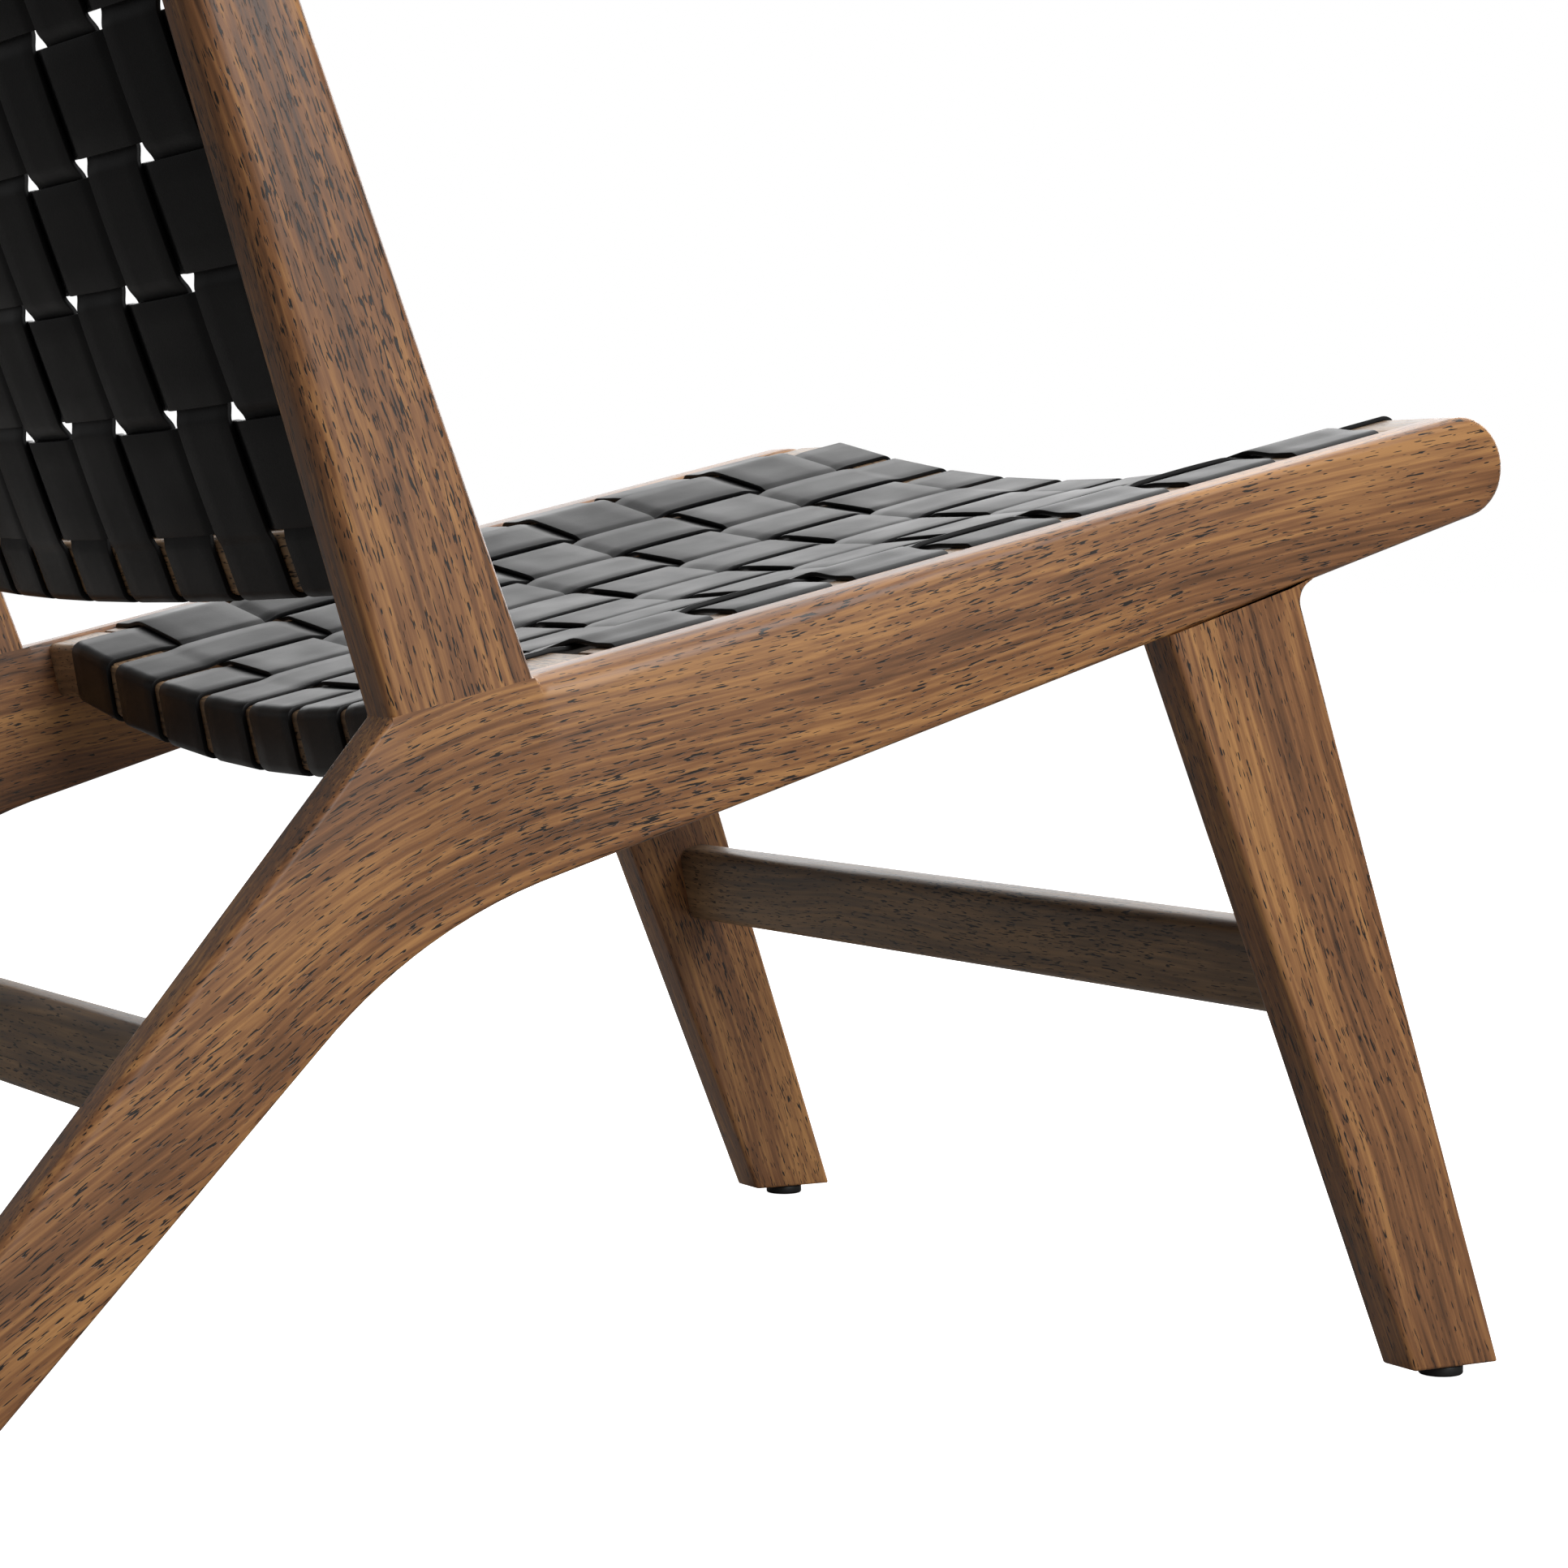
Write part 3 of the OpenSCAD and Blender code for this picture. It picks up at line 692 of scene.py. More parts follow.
@dataclass
class WoodenFrame:
    """The side frames, front legs, back stiles and stretchers."""

    view: SideView
    wood: Material
    rail_wood: Material
    width: float = 0.620
    board_t: float = 0.024
    soft_edge: float = 0.0028
    stretcher_h: float = 0.041
    stretcher_t: float = 0.020
    stretcher_round: float = 0.0065
    front_stretcher_z: float = 0.1815
    front_stretcher_fore: float = 0.005
    front_stretcher_lean: float = 11.0
    rear_stretcher_z: float = 0.162
    rear_stretcher_fore: float = 0.014

    @property
    def half_in(self) -> float:
        """From the middle of the chair to a side frame's inner face."""
        return self.width / 2 - self.board_t

    def build(self) -> None:
        """Model and dress every piece of the frame."""
        view = self.view
        leg_grain = self.straight_grain((view.leg_front_dir + view.leg_rear_dir) / 2)
        stile_grain = self.straight_grain(view.stile_axis)
        for number, side in enumerate(Side):
            self.finish_board(self.side_board(side), self.side_grain, 11 + number)
            self.finish_board(self.leg_board(side), leg_grain, 21 + number)
            self.finish_board(self.stile_board(side), stile_grain, 31 + number)
        self.build_stretchers()

    def finish_board(self, board: FrameBoard, to_grain: Callable[[Vector], Vector],
                     seed: int) -> None:
        """Model, dress and place one board.

        Args:
            board: the board's outline and roundings.
            to_grain: turns its points into plank coordinates.
            seed: picks its plank.
        """
        piece = board.build()
        lay_grain(piece, to_grain, seed)
        finish_piece(piece, board.node, [self.wood])

    def straight_grain(self, angle: float) -> Callable[[Vector], Vector]:
        """Plank coordinates for grain that runs straight at an angle in the side view."""
        turn = turned_about_x(-angle)

        def to_grain(point: Vector) -> Vector:
            """The point with the grain turned to X."""
            turned = turn @ point
            return Vector((turned.y, turned.z, turned.x))

        return to_grain

    def side_grain(self, point: Vector) -> Vector:
        """Plank coordinates of the side frame: along the rail, and steeper down the leg."""
        elbow = self.view.elbow
        past = (Vector((point.y, point.z)) - elbow).dot(heading(-30.0))
        lean = interpolate([(-0.15, 0.0), (0.16, 1.0)], past) * 20.0
        angle = math.radians(self.view.seat_slope + lean)
        offset = Vector((0.0, point.y - elbow.x, point.z - elbow.y))
        turned = Matrix.Rotation(angle, 3, "X") @ offset
        return Vector((turned.y, turned.z, point.x))

    def side_board(self, side: Side) -> FrameBoard:
        """The seat rail and rear leg in one board, from the nose over the elbow to the foot."""
        view = self.view
        corner = meet(view.nose_low, view.under_dir, view.rear_toe, view.inner_dir)
        half = math.radians((view.under_dir - 180.0 - view.inner_dir) / 2)
        run = view.arch_r * math.tan(half)
        arch_fore = corner + run * heading(view.under_dir)
        centre = arch_fore + left_of(view.under_dir, view.arch_r)
        start = view.under_dir - 90.0
        end = view.inner_dir + 90.0
        arch = arc(centre, view.arch_r, start, end, 24)
        low_rail = [view.nose_low, *arch[:13]]
        low_leg = [*arch[12:], view.rear_toe]
        tip = (view.top_dir + view.under_dir) / 2
        upper = arc(view.nose, view.nose_r, tip, view.top_dir - 90.0, 9)
        lower = arc(view.nose, view.nose_r, tip, view.under_dir + 90.0, 9)
        nose_top = view.on_rail(view.rail_run)
        joint = 1.0 - view.stile_base / view.rail_run
        close = joint - 0.07
        rail = [share * close for share in spread(40)]
        rail += [close + (joint - close) * share for share in spread(12)[1:]]
        rail += [joint + (1.0 - joint) * share for share in spread(6)[1:]]
        upper += along([nose_top, view.elbow], rail[1:])
        lower += along(low_rail, rail[1:])
        upper += along([view.elbow, view.rear_heel], spread(36)[1:])
        lower += along(low_leg, spread(36)[1:])
        # The round-over on the outer top edge grows towards the back, stops in a scoop just
        # ahead of the stile, and starts again down the back of the rear leg.
        fore = view.stile_fore.x
        top_rail = [(-0.325, 0.0045), (-0.29, 0.0035), (-0.214, 0.0030), (-0.094, 0.0057),
                    (-0.013, 0.0082), (0.048, 0.0108), (fore - 0.014, 0.0110),
                    (fore - 0.007, 0.0085), (fore - 0.002, 0.0)]
        leg_back = [(view.elbow.x + 0.002, 0.0), (view.elbow.x + 0.012, 0.0022),
                    (view.elbow.x + 0.12, 0.0055), (view.rear_heel.x, 0.0065)]
        inner_top = [(-0.325, 0.004), (-0.29, 0.003), (fore - 0.012, 0.003), (fore - 0.002, 0.0)]

        def split(rail_table: list[tuple[float, float]]) -> Callable[[Vector], float]:
            """The depth from the rail's table ahead of the stile and the leg's behind it."""
            return lambda p: interpolate(rail_table if p.x < fore else leg_back, p.x)

        def under(at_nose: float) -> Callable[[Vector], float]:
            """The lower edges' depth, which meets the upper edge's at the tip of the nose."""
            return lambda p: interpolate([(-0.325, at_nose), (-0.29, self.soft_edge)], p.x)

        return FrameBoard(f"side_frame_{side.word}", side, self.half_in, self.board_t, upper, lower,
                          {Edge.UPPER_OUTER: split(top_rail), Edge.UPPER_INNER: split(inner_top),
                           Edge.LOWER_OUTER: under(0.0045), Edge.LOWER_INNER: under(0.004)},
                          (0.0, 0.0015), range(1, 11))

    def leg_board(self, side: Side) -> FrameBoard:
        """The raked front leg, from its coved top to its foot."""
        view = self.view
        top_fore = meet(view.front_toe, view.leg_front_dir, view.nose_low, view.under_dir)
        top_aft = meet(view.front_heel, view.leg_rear_dir, view.nose_low, view.under_dir)
        half = math.radians((view.under_dir - view.leg_front_dir) / 2)
        run = view.cove_r / math.tan(half)
        root = top_fore + run * heading(view.under_dir)
        centre = root + left_of(view.under_dir, view.cove_r)
        cove = arc(centre, view.cove_r, view.under_dir - 90.0, view.leg_front_dir - 90.0, 8)
        steps = len(cove) - 1
        near_top = along([top_aft, view.front_heel], [0.05 * share for share in spread(steps)])
        front = cove + along([cove[-1], view.front_toe], spread(30)[1:])
        rear = near_top + along([near_top[-1], view.front_heel], spread(30)[1:])
        soft = lambda p: self.soft_edge
        fade = lambda p: interpolate([(0.30, self.soft_edge), (0.335, 0.0012)], p.y)
        return FrameBoard(f"front_leg_{side.word}", side, self.half_in, self.board_t, rear, front,
                          {Edge.UPPER_OUTER: soft, Edge.UPPER_INNER: soft,
                           Edge.LOWER_OUTER: fade, Edge.LOWER_INNER: fade}, (0.0, 0.0015))

    def stile_board(self, side: Side) -> FrameBoard:
        """The back stile, from its base on the seat rail to its rounded top."""
        view = self.view
        axis, centre, radius = view.stile_axis, view.stile_top, view.stile_top_r
        rear_top = arc(centre, radius, view.stile_rear_dir - 90.0, axis, 10)
        front_top = arc(centre, radius, view.stile_front_dir + 90.0, axis, 10)
        rear = along([view.elbow, rear_top[0]], spread(40)) + rear_top[1:]
        front = along([view.stile_fore, front_top[0]], spread(40)) + front_top[1:]
        base = view.elbow.y
        back = [(base, 0.0006), (base + 0.022, 0.0035), (base + 0.06, 0.0085),
                (base + 0.11, 0.0105), (centre.y - 0.12, 0.0105), (centre.y - 0.024, 0.0042)]
        face = [(base + 0.014, 0.0006), (base + 0.05, 0.0042), (view.height, 0.0042)]
        curve = lambda table: (lambda p: interpolate(table, p.y))
        crisp = lambda p: interpolate([(centre.y - 0.12, 0.0012), (centre.y - 0.024, 0.0042)], p.y)
        return FrameBoard(f"back_stile_{side.word}", side, self.half_in, self.board_t, rear, front,
                          {Edge.UPPER_OUTER: curve(back), Edge.UPPER_INNER: crisp,
                           Edge.LOWER_OUTER: curve(face), Edge.LOWER_INNER: curve(face)},
                          rounded=range(40, 50))

    def build_stretchers(self) -> None:
        """Model and dress the two stretchers."""
        view = self.view
        front_y = self.mid_leg(view.front_toe, view.leg_front_dir, view.front_heel,
                               view.leg_rear_dir, self.front_stretcher_z)
        rear_y = self.mid_leg(view.rear_toe, view.inner_dir, view.rear_heel, view.rear_dir,
                              self.rear_stretcher_z)
        places = [("front_stretcher", front_y - self.front_stretcher_fore,
                   self.front_stretcher_z, self.front_stretcher_lean),
                  ("rear_stretcher", rear_y - self.rear_stretcher_fore,
                   self.rear_stretcher_z, 0.0)]
        for number, (node, y, z, lean) in enumerate(places):
            turn = turned_about_x(-lean)
            place = Matrix.Translation((0.0, y, z)) @ turn
            bar = plain_bar(node + "_wood", Vector((2 * self.half_in, self.stretcher_t,
                                                    self.stretcher_h)),
                            self.stretcher_round, 5)
            bar.data.transform(place)
            lay_grain(bar, lambda p: p.copy(), 41 + number)
            finish_piece(bar, node, [self.rail_wood])

    def mid_leg(self, p: Vector, a: float, q: Vector, b: float, z: float) -> float:
        """The middle of a leg at a height, between its lines through p and q."""
        level = Vector((0.0, z))
        return (meet(p, a, level, 0.0).x + meet(q, b, level, 0.0).x) / 2


def plain_bar(name: str, size: Vector, rounding: float, segments: int) -> Object:
    """Model a straight bar about the origin with its four long edges rounded.

    Args:
        name: the object's name.
        size: its size along X, Y and Z. The longest way is rounded along.
        rounding: the depth of the rounding.
        segments: faces across the rounding.

    Returns:
        The bar.
    """
    deselect()
    bpy.ops.mesh.primitive_cube_add(size=1.0)
    bar = bpy.context.active_object
    bar.name = name
    bar.data.name = name
    bar.data.transform(Matrix.Diagonal((*size, 1.0)))
    face_out(bar)
    way = max(range(3), key=lambda k: size[k])
    mesh = bar.data

    def depth_of(edge: MeshEdge) -> float:
        """The rounding, on the edges that run the long way."""
        a, b = (mesh.vertices[k].co for k in edge.vertices)
        return rounding if abs(a[way] - b[way]) > TINY else 0.0

    round_edges(bar, depth_of, segments)
    return bar


# ---------- woven panels ----------


@dataclass
class WovenPanel:
    """Two bowed rails and two battens, with lengthwise and cross straps woven over them.

    In the panel's frame x runs across, y along from 0 at the first rail to -length, and z off
    the face that the straps lie on. bend is 1 where that face is hollow and -1 where it bulges.
    """

    place: Matrix
    long_node: str
    cross_node: str
    rail_nodes: tuple[str, str]
    batten_node: str
    length: float
    rail_w: float
    rail_t: float
    bow_r: float
    bend: int
    edge_gap: float
    tail: float
    half_in: float
    wood: Material
    leather: Material
    cut_edge: Material
    seed: int
    rows: int
    strap_count: int = 9
    strap_w: float = 0.0445
    strap_t: float = 0.0022
    strap_gap: float = 0.00025
    side_gap: float = 0.0414
    batten_w: float = 0.020
    batten_t: float = 0.018
    arris: float = 0.0034
    crown: float = 0.0016
    crown_edge: float = 0.00125
    spread: float = 0.0007
    cell_steps: int = 10
    gap_steps: int = 6
    tail_inset: float = 0.004
    turn_in: float = 0.004
    flat_end: float = 0.016
    flat_margin: float = 0.0006
    cell_margin: float = 0.0004
    batten_round: float = 0.002
    strap_round: float = 0.00045

    def __post_init__(self) -> None:
        """Work out the spacing of the straps and the ends of the bow."""
        span = 2 * (self.half_in - self.side_gap)
        self.long_pitch = (span - self.strap_w) / (self.strap_count - 1)
        self.flat_x = span / 2 + self.flat_margin
        cross_span = self.length - 2 * (self.rail_w + self.edge_gap)
        self.cross_pitch = (cross_span - self.strap_w) / (self.rows - 1)
        self.strap_z = self.strap_gap + self.strap_t / 2
        self.apex_z = -self.bend * (self.bow_r - math.sqrt(self.bow_r ** 2 - self.flat_x ** 2))
        self.batten_out = self.half_in - 2 * self.strap_z

    def long_x(self, i: int) -> float:
        """Where lengthwise strap i crosses the panel."""
        return ((self.strap_count + 1) / 2 - i) * self.long_pitch

    def cross_y(self, j: int) -> float:
        """Where cross strap j lies along the panel."""
        return -self.length / 2 + ((self.rows + 1) / 2 - j) * self.cross_pitch

    def build(self) -> None:
        """Model and dress the rails, battens and straps."""
        for number, node in enumerate(self.rail_nodes):
            self.build_rail(node, 0.0 if number == 0 else -self.length + self.rail_w)
        for side in Side:
            self.build_batten(side)
        for i in range(1, self.strap_count + 1):
            self.build_long_strap(i)
        for j in range(1, self.rows + 1):
            self.build_cross_strap(j)

    def build_rail(self, node: str, start: float) -> None:
        """Model and dress a bowed rail with flat ends.

        Args:
            node: the CAD node it stands for.
            start: the panel's y at the rail's first face.
        """
        count = 56
        inner = [self.flat_x * (2 * k / count - 1) for k in range(count + 1)]
        flat = self.half_in - self.flat_end
        xs = [-self.half_in, -flat, *inner, flat, self.half_in]
        centre_z = self.apex_z + self.bend * self.bow_r
        far_r = self.bow_r + self.bend * self.rail_t

        def place(column: int, row: int) -> Vector:
            """A point on the strap face (row 1) or on the far face (row 0)."""
            x = xs[column]
            if abs(x) > self.flat_x + TINY:
                z = 0.0 if row == 1 else -self.rail_t
            else:
                radius = self.bow_r if row == 1 else far_r
                z = centre_z - self.bend * math.sqrt(radius ** 2 - x ** 2)
            return Vector((x, start, z))

        rail = shaped_grid(node + "_wood", len(xs) - 1, 1, place)
        thicken(rail, Vector((0.0, -self.rail_w, 0.0)))
        mesh = rail.data
        column_of, row_of = labels(mesh)

        def depth_of(edge: MeshEdge) -> float:
            """The arris, on the edges that run across the chair."""
            a, b = edge.vertices
            return self.arris if column_of[a] != column_of[b] and row_of[a] == row_of[b] else 0.0

        round_edges(rail, depth_of, segments=4)
        rail.data.transform(self.place)
        lay_grain(rail, lambda p: p.copy(), self.seed + len(node) + round(start * 1000))
        finish_piece(rail, node, [self.wood])

    def build_batten(self, side: Side) -> None:
        """Model and dress the batten that the cross straps wrap round at one side."""
        long = self.length - 2 * self.rail_w
        node = f"{self.batten_node}_{side.word}"
        bar = plain_bar(node + "_wood", Vector((self.batten_w, long, self.batten_t)),
                        self.batten_round, 2)
        x = side.value * (self.batten_out - self.batten_w / 2)
        bar.data.transform(self.place @ Matrix.Translation((x, -self.length / 2, -self.batten_t / 2)))
        lay_grain(bar, lambda p: Vector((p.y, p.x, p.z)), self.seed + 70 + side.value)
        finish_piece(bar, node, [self.wood])

    def wrap(self, corners: Sequence[Vector]) -> list[Vector]:
        """A strap's middle line round wood, with its corners turned on the wood's arris.

        Args:
            corners: the sharp middle line.

        Returns:
            The points, with each inner corner replaced by an arc.
        """
        radius = self.arris + self.strap_z
        points = [corners[0]]
        for before, corner, after in zip(corners, corners[1:], corners[2:]):
            into, out = (corner - before).normalized(), (after - corner).normalized()
            turn = into.angle(out)
            run = min(radius * math.tan(turn / 2), 0.45 * min((corner - before).length,
                                                               (after - corner).length))
            start, end = corner - run * into, corner + run * out
            for k in range(9):
                t = k / 8
                pull = 0.2 * (start + end) / 2 + 0.8 * corner
                points.append((1 - t) ** 2 * start + 2 * t * (1 - t) * pull + t * t * end)
        points.append(corners[-1])
        return points

    def cell(self, middle: float, over: int) -> list[tuple[float, float]]:
        """A strap's line where it crosses another, crowned over it or hollow under it.

        Args:
            middle: where the crossing's middle is along the strap.
            over: 1 where this strap lies on top, otherwise -1.

        Returns:
            (place along, height off the face) pairs in falling order of place.
        """
        half = self.strap_w / 2 + self.cell_margin
        pairs = []
        for k in range(self.cell_steps + 1):
            step = half * (1 - 2 * k / self.cell_steps)
            fall = (self.crown - self.crown_edge) * (step / half) ** 2
            pairs.append((middle + step, self.strap_z + over * (self.crown - fall)))
        return pairs

    def bridge(self, parts: Sequence[Sequence[Vector]]) -> list[Vector]:
        """Join stretches of a strap's line by smooth curves.

        Args:
            parts: the stretches in order, each with two points or more.

        Returns:
            One line through them all.
        """
        line = list(parts[0])
        for part in parts[1:]:
            start, end = line[-1], part[0]
            reach = (end - start).length
            leave = (line[-1] - line[-2]).normalized() * reach
            arrive = (part[1] - part[0]).normalized() * reach
            for k in range(1, self.gap_steps):
                t = k / self.gap_steps
                line.append((2 * t ** 3 - 3 * t ** 2 + 1) * start + (t ** 3 - 2 * t ** 2 + t) * leave
                            + (3 * t ** 2 - 2 * t ** 3) * end + (t ** 3 - t ** 2) * arrive)
            line.extend(part)
        return line

    def build_long_strap(self, i: int) -> None:
        """Model and dress lengthwise strap i, from tail to tail round both rails."""
        z, low = self.strap_z, -self.rail_t - self.strap_z
        near, far = -self.rail_w, -self.length + self.rail_w
        corners = [Vector((z, low)), Vector((z, z)), Vector((near + self.turn_in, z))]
        if self.tail > 0:
            head = [Vector((near - z, low + self.tail)), Vector((near - z, low)), *corners]
        else:
            head = [Vector((near + self.tail_inset, low)), *corners]
        foot = [Vector((-self.length - p.x, p.y)) for p in reversed(head)]
        parts = [self.wrap(head)]
        for j in range(1, self.rows + 1):
            over = -1 if (i + j) % 2 == 0 else 1
            parts.append([Vector(pair) for pair in self.cell(self.cross_y(j), over)])
        parts.append(self.wrap(foot))
        line = self.bridge(parts)
        t = math.asin(self.long_x(i) / self.bow_r)
        draw = random.Random(self.seed + i)
        drift, phase = draw.uniform(0.0002, 0.0006), draw.uniform(0.0, 6.28)

        def put(point: Vector, side_step: float) -> Vector:
            """A point of the strap in the panel's frame."""
            a = side_step + drift * math.sin(phase + point.x * 9.0)
            x = self.bow_r * math.sin(t) + a * math.cos(t) - self.bend * point.y * math.sin(t)
            height = (self.apex_z + self.bend * self.bow_r * (1 - math.cos(t))
                      + self.bend * a * math.sin(t) + point.y * math.cos(t))
            return Vector((x, point.x, height))

        self.build_strap(f"{self.long_node}_{i}", line, put)

    def build_cross_strap(self, j: int) -> None:
        """Model and dress cross strap j, from tail to tail round both battens."""
        z, low = self.strap_z, -self.batten_t - self.strap_z
        out, near = self.batten_out + z, self.batten_out - self.batten_w
        head = self.wrap([Vector((near + self.tail_inset, low)), Vector((out, low)),
                          Vector((out, z)), Vector((near + self.turn_in, z))])
        foot = [Vector((-p.x, p.y)) for p in reversed(head)]
        parts = [head]
        for i in range(1, self.strap_count + 1):
            over = 1 if (i + j) % 2 == 0 else -1
            middle = self.bow_r * math.asin(self.long_x(i) / self.bow_r)
            parts.append([self.on_bow(q, h) for q, h in self.cell(middle, over)])
        parts.append(foot)
        line = self.bridge(parts)
        y = self.cross_y(j)
        draw = random.Random(self.seed + 40 + j)
        drift, phase = draw.uniform(0.0001, 0.0004), draw.uniform(0.0, 6.28)

        def put(point: Vector, side_step: float) -> Vector:
            """A point of the strap in the panel's frame."""
            return Vector((point.x, y + side_step + drift * math.sin(phase + point.x * 11.0), point.y))

        self.build_strap(f"{self.cross_node}_{j}", line, put)

    def on_bow(self, q: float, h: float) -> Vector:
        """The (x, z) point at a distance q along the bow and a height h off it."""
        t = q / self.bow_r
        x = self.bow_r * math.sin(t) - self.bend * h * math.sin(t)
        return Vector((x, self.apex_z + self.bend * self.bow_r * (1 - math.cos(t)) + h * math.cos(t)))

    def build_strap(self, node: str, line: Sequence[Vector],
                    put: Callable[[Vector, float], Vector]) -> None:
        """Model and dress a strap along its middle line.

        Args:
            node: the CAD node it stands for.
            line: the strap's middle line.
            put: turns a point of the line and a step to the side into the panel's frame.
        """
        rows = 4
        width = self.strap_w + 2 * self.spread
        strap = shaped_grid(node + "_leather", len(line) - 1, rows,
                            lambda c, r: put(line[c], width * (r / rows - 0.5)))
        face_out(strap)
        apply_modifier(strap, "SOLIDIFY", thickness=self.strap_t, offset=0.0,
                       use_even_offset=True, material_offset_rim=1)
        apply_modifier(strap, "BEVEL", limit_method="ANGLE", angle_limit=SHARP_ANGLE,
                       width=self.strap_round, segments=2)
        strap.data.transform(self.place)
        finish_piece(strap, node, [self.leather, self.cut_edge])


# ---------- small parts ----------


@dataclass
class Hardware:
    """Foot glides, and the dowels, screws and staples that keep their CAD shapes."""

    view: SideView
    board_mid: float
    glide_d: float = 0.020
    pin_d: float = 0.003
    pin_l: float = 0.014
    glide_round: float = 0.0012

    def build(self) -> None:
        """Dress the CAD fasteners and model the glides."""
        beech = PlainFinish("turned_beech", "#c79f6f", "#b0875a", 1.5, 0.6).build()
        zinc = PlainFinish("zinc_plated_steel", "#b9bbbd", "#9fa1a3", 0.8, 0.35, 1.0).build()
        nylon = PlainFinish("moulded_nylon", "#141414", "#1c1c1c", 0.6, 0.5).build()
        for node in ("frame_dowels", "rail_dowels"):
            self.dress(node, beech)
        for node in ("batten_screws", "seat_staples", "back_staples"):
            self.dress(node, zinc)
        self.build_glides(nylon)

    def dress(self, node: str, material: Material) -> None:
        """Give a CAD node that stays in view its material."""
        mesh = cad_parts[node].data
        mesh.materials.clear()
        mesh.materials.append(material)
        log.info("%s keeps its CAD shape", node)

    def build_glides(self, nylon: Material) -> None:
        """Model the four foot glides as one piece, each with its pin."""
        view = self.view
        fore = (view.front_toe.x + view.front_heel.x) / 2
        aft = (view.rear_toe.x + view.rear_heel.x) / 2
        deselect()
        made = []
        for x, y in [(sx * self.board_mid, y) for sx in (1, -1) for y in (fore, aft)]:
            for vertices, width, tall, base in ((32, self.glide_d, view.glide_h, 0.0),
                                                (12, self.pin_d, self.pin_l, view.glide_h)):
                bpy.ops.mesh.primitive_cylinder_add(vertices=vertices, radius=width / 2, depth=tall,
                                                    location=(x, y, base + tall / 2))
                made.append(bpy.context.active_object)
        deselect()
        for piece in made:
            piece.select_set(True)
        bpy.context.view_layer.objects.active = made[0]
        bpy.ops.object.join()
        glides = bpy.context.active_object
        glides.name = "foot_glides_nylon"
        bpy.ops.object.transform_apply(location=True, rotation=True, scale=True)
        apply_modifier(glides, "BEVEL", limit_method="ANGLE", angle_limit=SHARP_ANGLE,
                       width=self.glide_round, segments=3)
        finish_piece(glides, "foot_glides", [nylon])


# ---------- studio ----------


@dataclass
class Studio:
    """A pale floor, soft lights and the camera."""

    camera_at: Vector = Vector((-1.71775, 0.76863, 0.36293))
    camera_way: Vector = Vector((0.86983, -0.49021, -0.05562))
    lens_mm: float = 93.36
    sensor_mm: float = 36.0
    floor_size: float = 60.0
    fill: float = 0.21
    floor_glow: float = 0.95
    floor_bounce: str = "#8a8886"

    def build(self) -> None:
        """Set the floor, the world, the lights and the camera."""
        self.add_floor()
        self.add_world()
        self.add_softbox("overhead", (0.3, -0.8, 2.6), (0.0, 0.0, 0.3), 2.4, 40.0)
        self.add_softbox("far_side", (2.6, -1.4, 1.15), (0.0, 0.0, 0.35), 2.4, 40.0)
        self.add_softbox("near_side", (-2.8, -0.5, 1.75), (0.0, 0.1, 0.4), 1.8, 62.0)
        self.add_softbox("front", (1.4, -2.8, 1.1), (0.0, 0.0, 0.35), 1.8, 48.0)
        self.add_camera()

    def add_floor(self) -> None:
        """A wide, plain, pale floor."""
        deselect()
        bpy.ops.mesh.primitive_plane_add(size=self.floor_size)
        floor = bpy.context.active_object
        floor.name = "studio_floor"
        material, tree = new_material("matt_white_paint")
        seen = add_node(tree, "LightPath", out="Is Camera Ray")
        bounced = add_node(tree, "BsdfDiffuse", {0: linear(self.floor_bounce)})
        pale = add_node(tree, "BsdfPrincipled",
                        {"Base Color": linear("#e6e6e6"), "Roughness": 0.9,
                         "Specular IOR Level": 0.1, "Emission Color": WHITE,
                         "Emission Strength": self.floor_glow})
        both = add_node(tree, "MixShader", {0: seen, 1: bounced, 2: pale})
        add_node(tree, "OutputMaterial", {0: both})
        floor.data.materials.append(material)

    def add_world(self) -> None:
        """A white backdrop that lights the chair more softly than it looks."""
        world = bpy.data.worlds.new("white_cove")
        bpy.context.scene.world = world
        world.use_nodes = True
        tree = world.node_tree
        tree.nodes.clear()
        seen = add_node(tree, "LightPath", out="Is Camera Ray")
        strength = add_node(tree, "MapRange", {0: seen, 3: self.fill, 4: 1.0})
        sky = add_node(tree, "Background", {0: WHITE, 1: strength})
        add_node(tree, "OutputWorld", {0: sky})

    def add_softbox(self, name: str, at: Sequence[float], towards: Sequence[float], size: float,
                    power: float) -> None:
        """Add a square soft light.

        Args:
            name: the light's name.
            at: where it hangs.
            towards: the point it faces.
            size: its side.
            power: its power in watts.
        """
        light = bpy.data.lights.new(name, "AREA")
        light.size = size
        light.energy = power
        lamp = bpy.data.objects.new(name, light)
        lamp.location = at
        lamp.rotation_euler = (Vector(towards) - Vector(at)).to_track_quat("-Z", "Y").to_euler()
        bpy.context.scene.collection.objects.link(lamp)

    def add_camera(self) -> None:
        """The camera, behind the chair at seat height."""
        data = bpy.data.cameras.new("camera")
        data.lens = self.lens_mm
        data.sensor_width = self.sensor_mm
        camera = bpy.data.objects.new("camera", data)
        camera.location = self.camera_at
        camera.rotation_euler = self.camera_way.to_track_quat("-Z", "Y").to_euler()
        bpy.context.scene.collection.objects.link(camera)
        bpy.context.scene.camera = camera
        bpy.context.scene.view_settings.view_transform = "Standard"


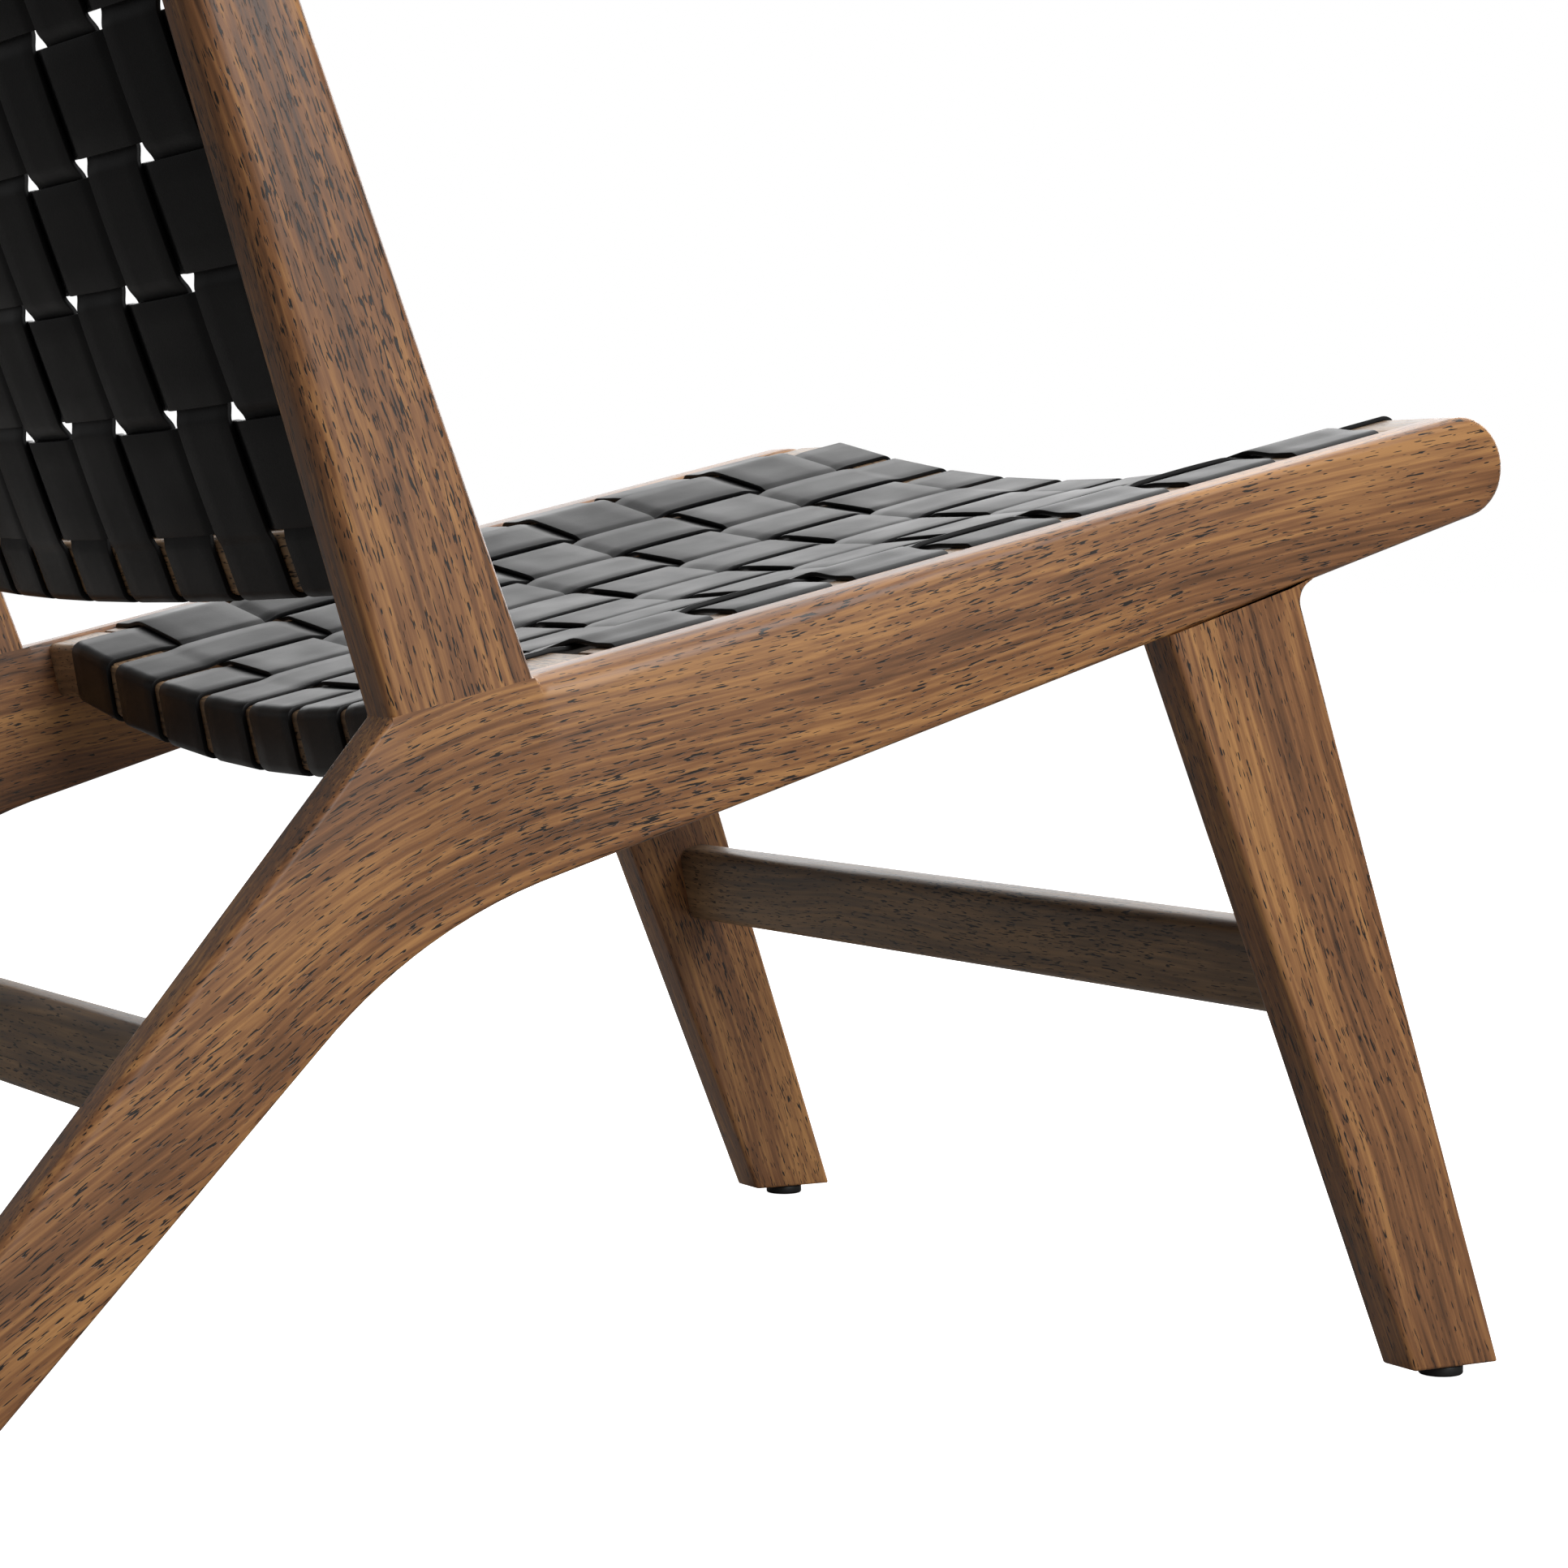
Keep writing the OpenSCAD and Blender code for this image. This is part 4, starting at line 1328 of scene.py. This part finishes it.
def seat_panel(view: SideView, half_in: float, materials: Sequence[Material]) -> WovenPanel:
    """The dished seat, hung between the side frames.

    Args:
        view: the frame's lines.
        half_in: from the middle to a side frame's inner face.
        materials: rail wood, leather and cut edge.

    Returns:
        The panel, ready to build.
    """
    setback = view.stile_base + view.seat_stile_gap
    origin = view.on_rail(setback) + left_of(view.top_dir, view.seat_drop)
    place = Matrix.Translation((0.0, origin.x, origin.y)) @ turned_about_x(-view.seat_slope)
    return WovenPanel(
        place=place, long_node="seat_strap_long", cross_node="seat_strap_cross",
        rail_nodes=("seat_rear_rail", "seat_front_rail"), batten_node="seat_batten",
        length=view.rail_run + view.nose_r - view.seat_nose_gap - setback, rail_w=0.030, rail_t=0.028,
        bow_r=1.200, bend=1, edge_gap=0.0075, tail=0.0, half_in=half_in, wood=materials[0],
        leather=materials[1], cut_edge=materials[2], seed=100, rows=7)


def back_panel(view: SideView, half_in: float, materials: Sequence[Material]) -> WovenPanel:
    """The bowed back, hung between the stiles.

    Args:
        view: the frame's lines.
        half_in: from the middle to a stile's inner face.
        materials: rail wood, leather and cut edge.

    Returns:
        The panel, ready to build.
    """
    recline = turned_about_x(-view.back_recline)
    place = (Matrix.Translation((0.0, view.stile_fore.x, view.stile_fore.y)) @ recline
             @ Matrix.Translation((0.0, view.back_inset, view.back_rise)) @ turned_about_x(-90.0))
    reach = (view.stile_top - view.stile_fore).dot(heading(view.stile_front_dir))
    length = reach + view.stile_top_r - view.back_rise - view.back_top_gap
    return WovenPanel(
        place=place, long_node="back_strap_upright", cross_node="back_strap_cross",
        rail_nodes=("back_bottom_rail", "back_top_rail"), batten_node="back_batten",
        length=length, rail_w=0.026, rail_t=0.018, bow_r=1.800, bend=-1, edge_gap=0.0035,
        tail=0.013, half_in=half_in, wood=materials[0], leather=materials[1],
        cut_edge=materials[2], seed=300, rows=6)


def main() -> None:
    """Build the studio and the chair."""
    logging.basicConfig(level=logging.INFO, format="%(name)s: %(message)s")
    Studio().build()
    view = SideView()
    frame_wood = WoodFinish("oiled_walnut_frame", "#bd8850", "#8a5c37", "#4e3320", "#1c120a").build()
    rail_wood = WoodFinish("oiled_walnut_rails", "#a98763", "#80654a", "#544131", "#20170f",
                           roughness=0.5).build()
    leather = LeatherFinish("black_strap_leather").build()
    cut_edge = CutEdgeFinish("raw_leather_edge_and_highlight").build()
    wooden = WoodenFrame(view, frame_wood, rail_wood)
    wooden.build()
    for make in (seat_panel, back_panel):
        make(view, wooden.half_in, (rail_wood, leather, cut_edge)).build()
    Hardware(view, wooden.half_in + wooden.board_t / 2).build()


if __name__ == "__main__":
    main()
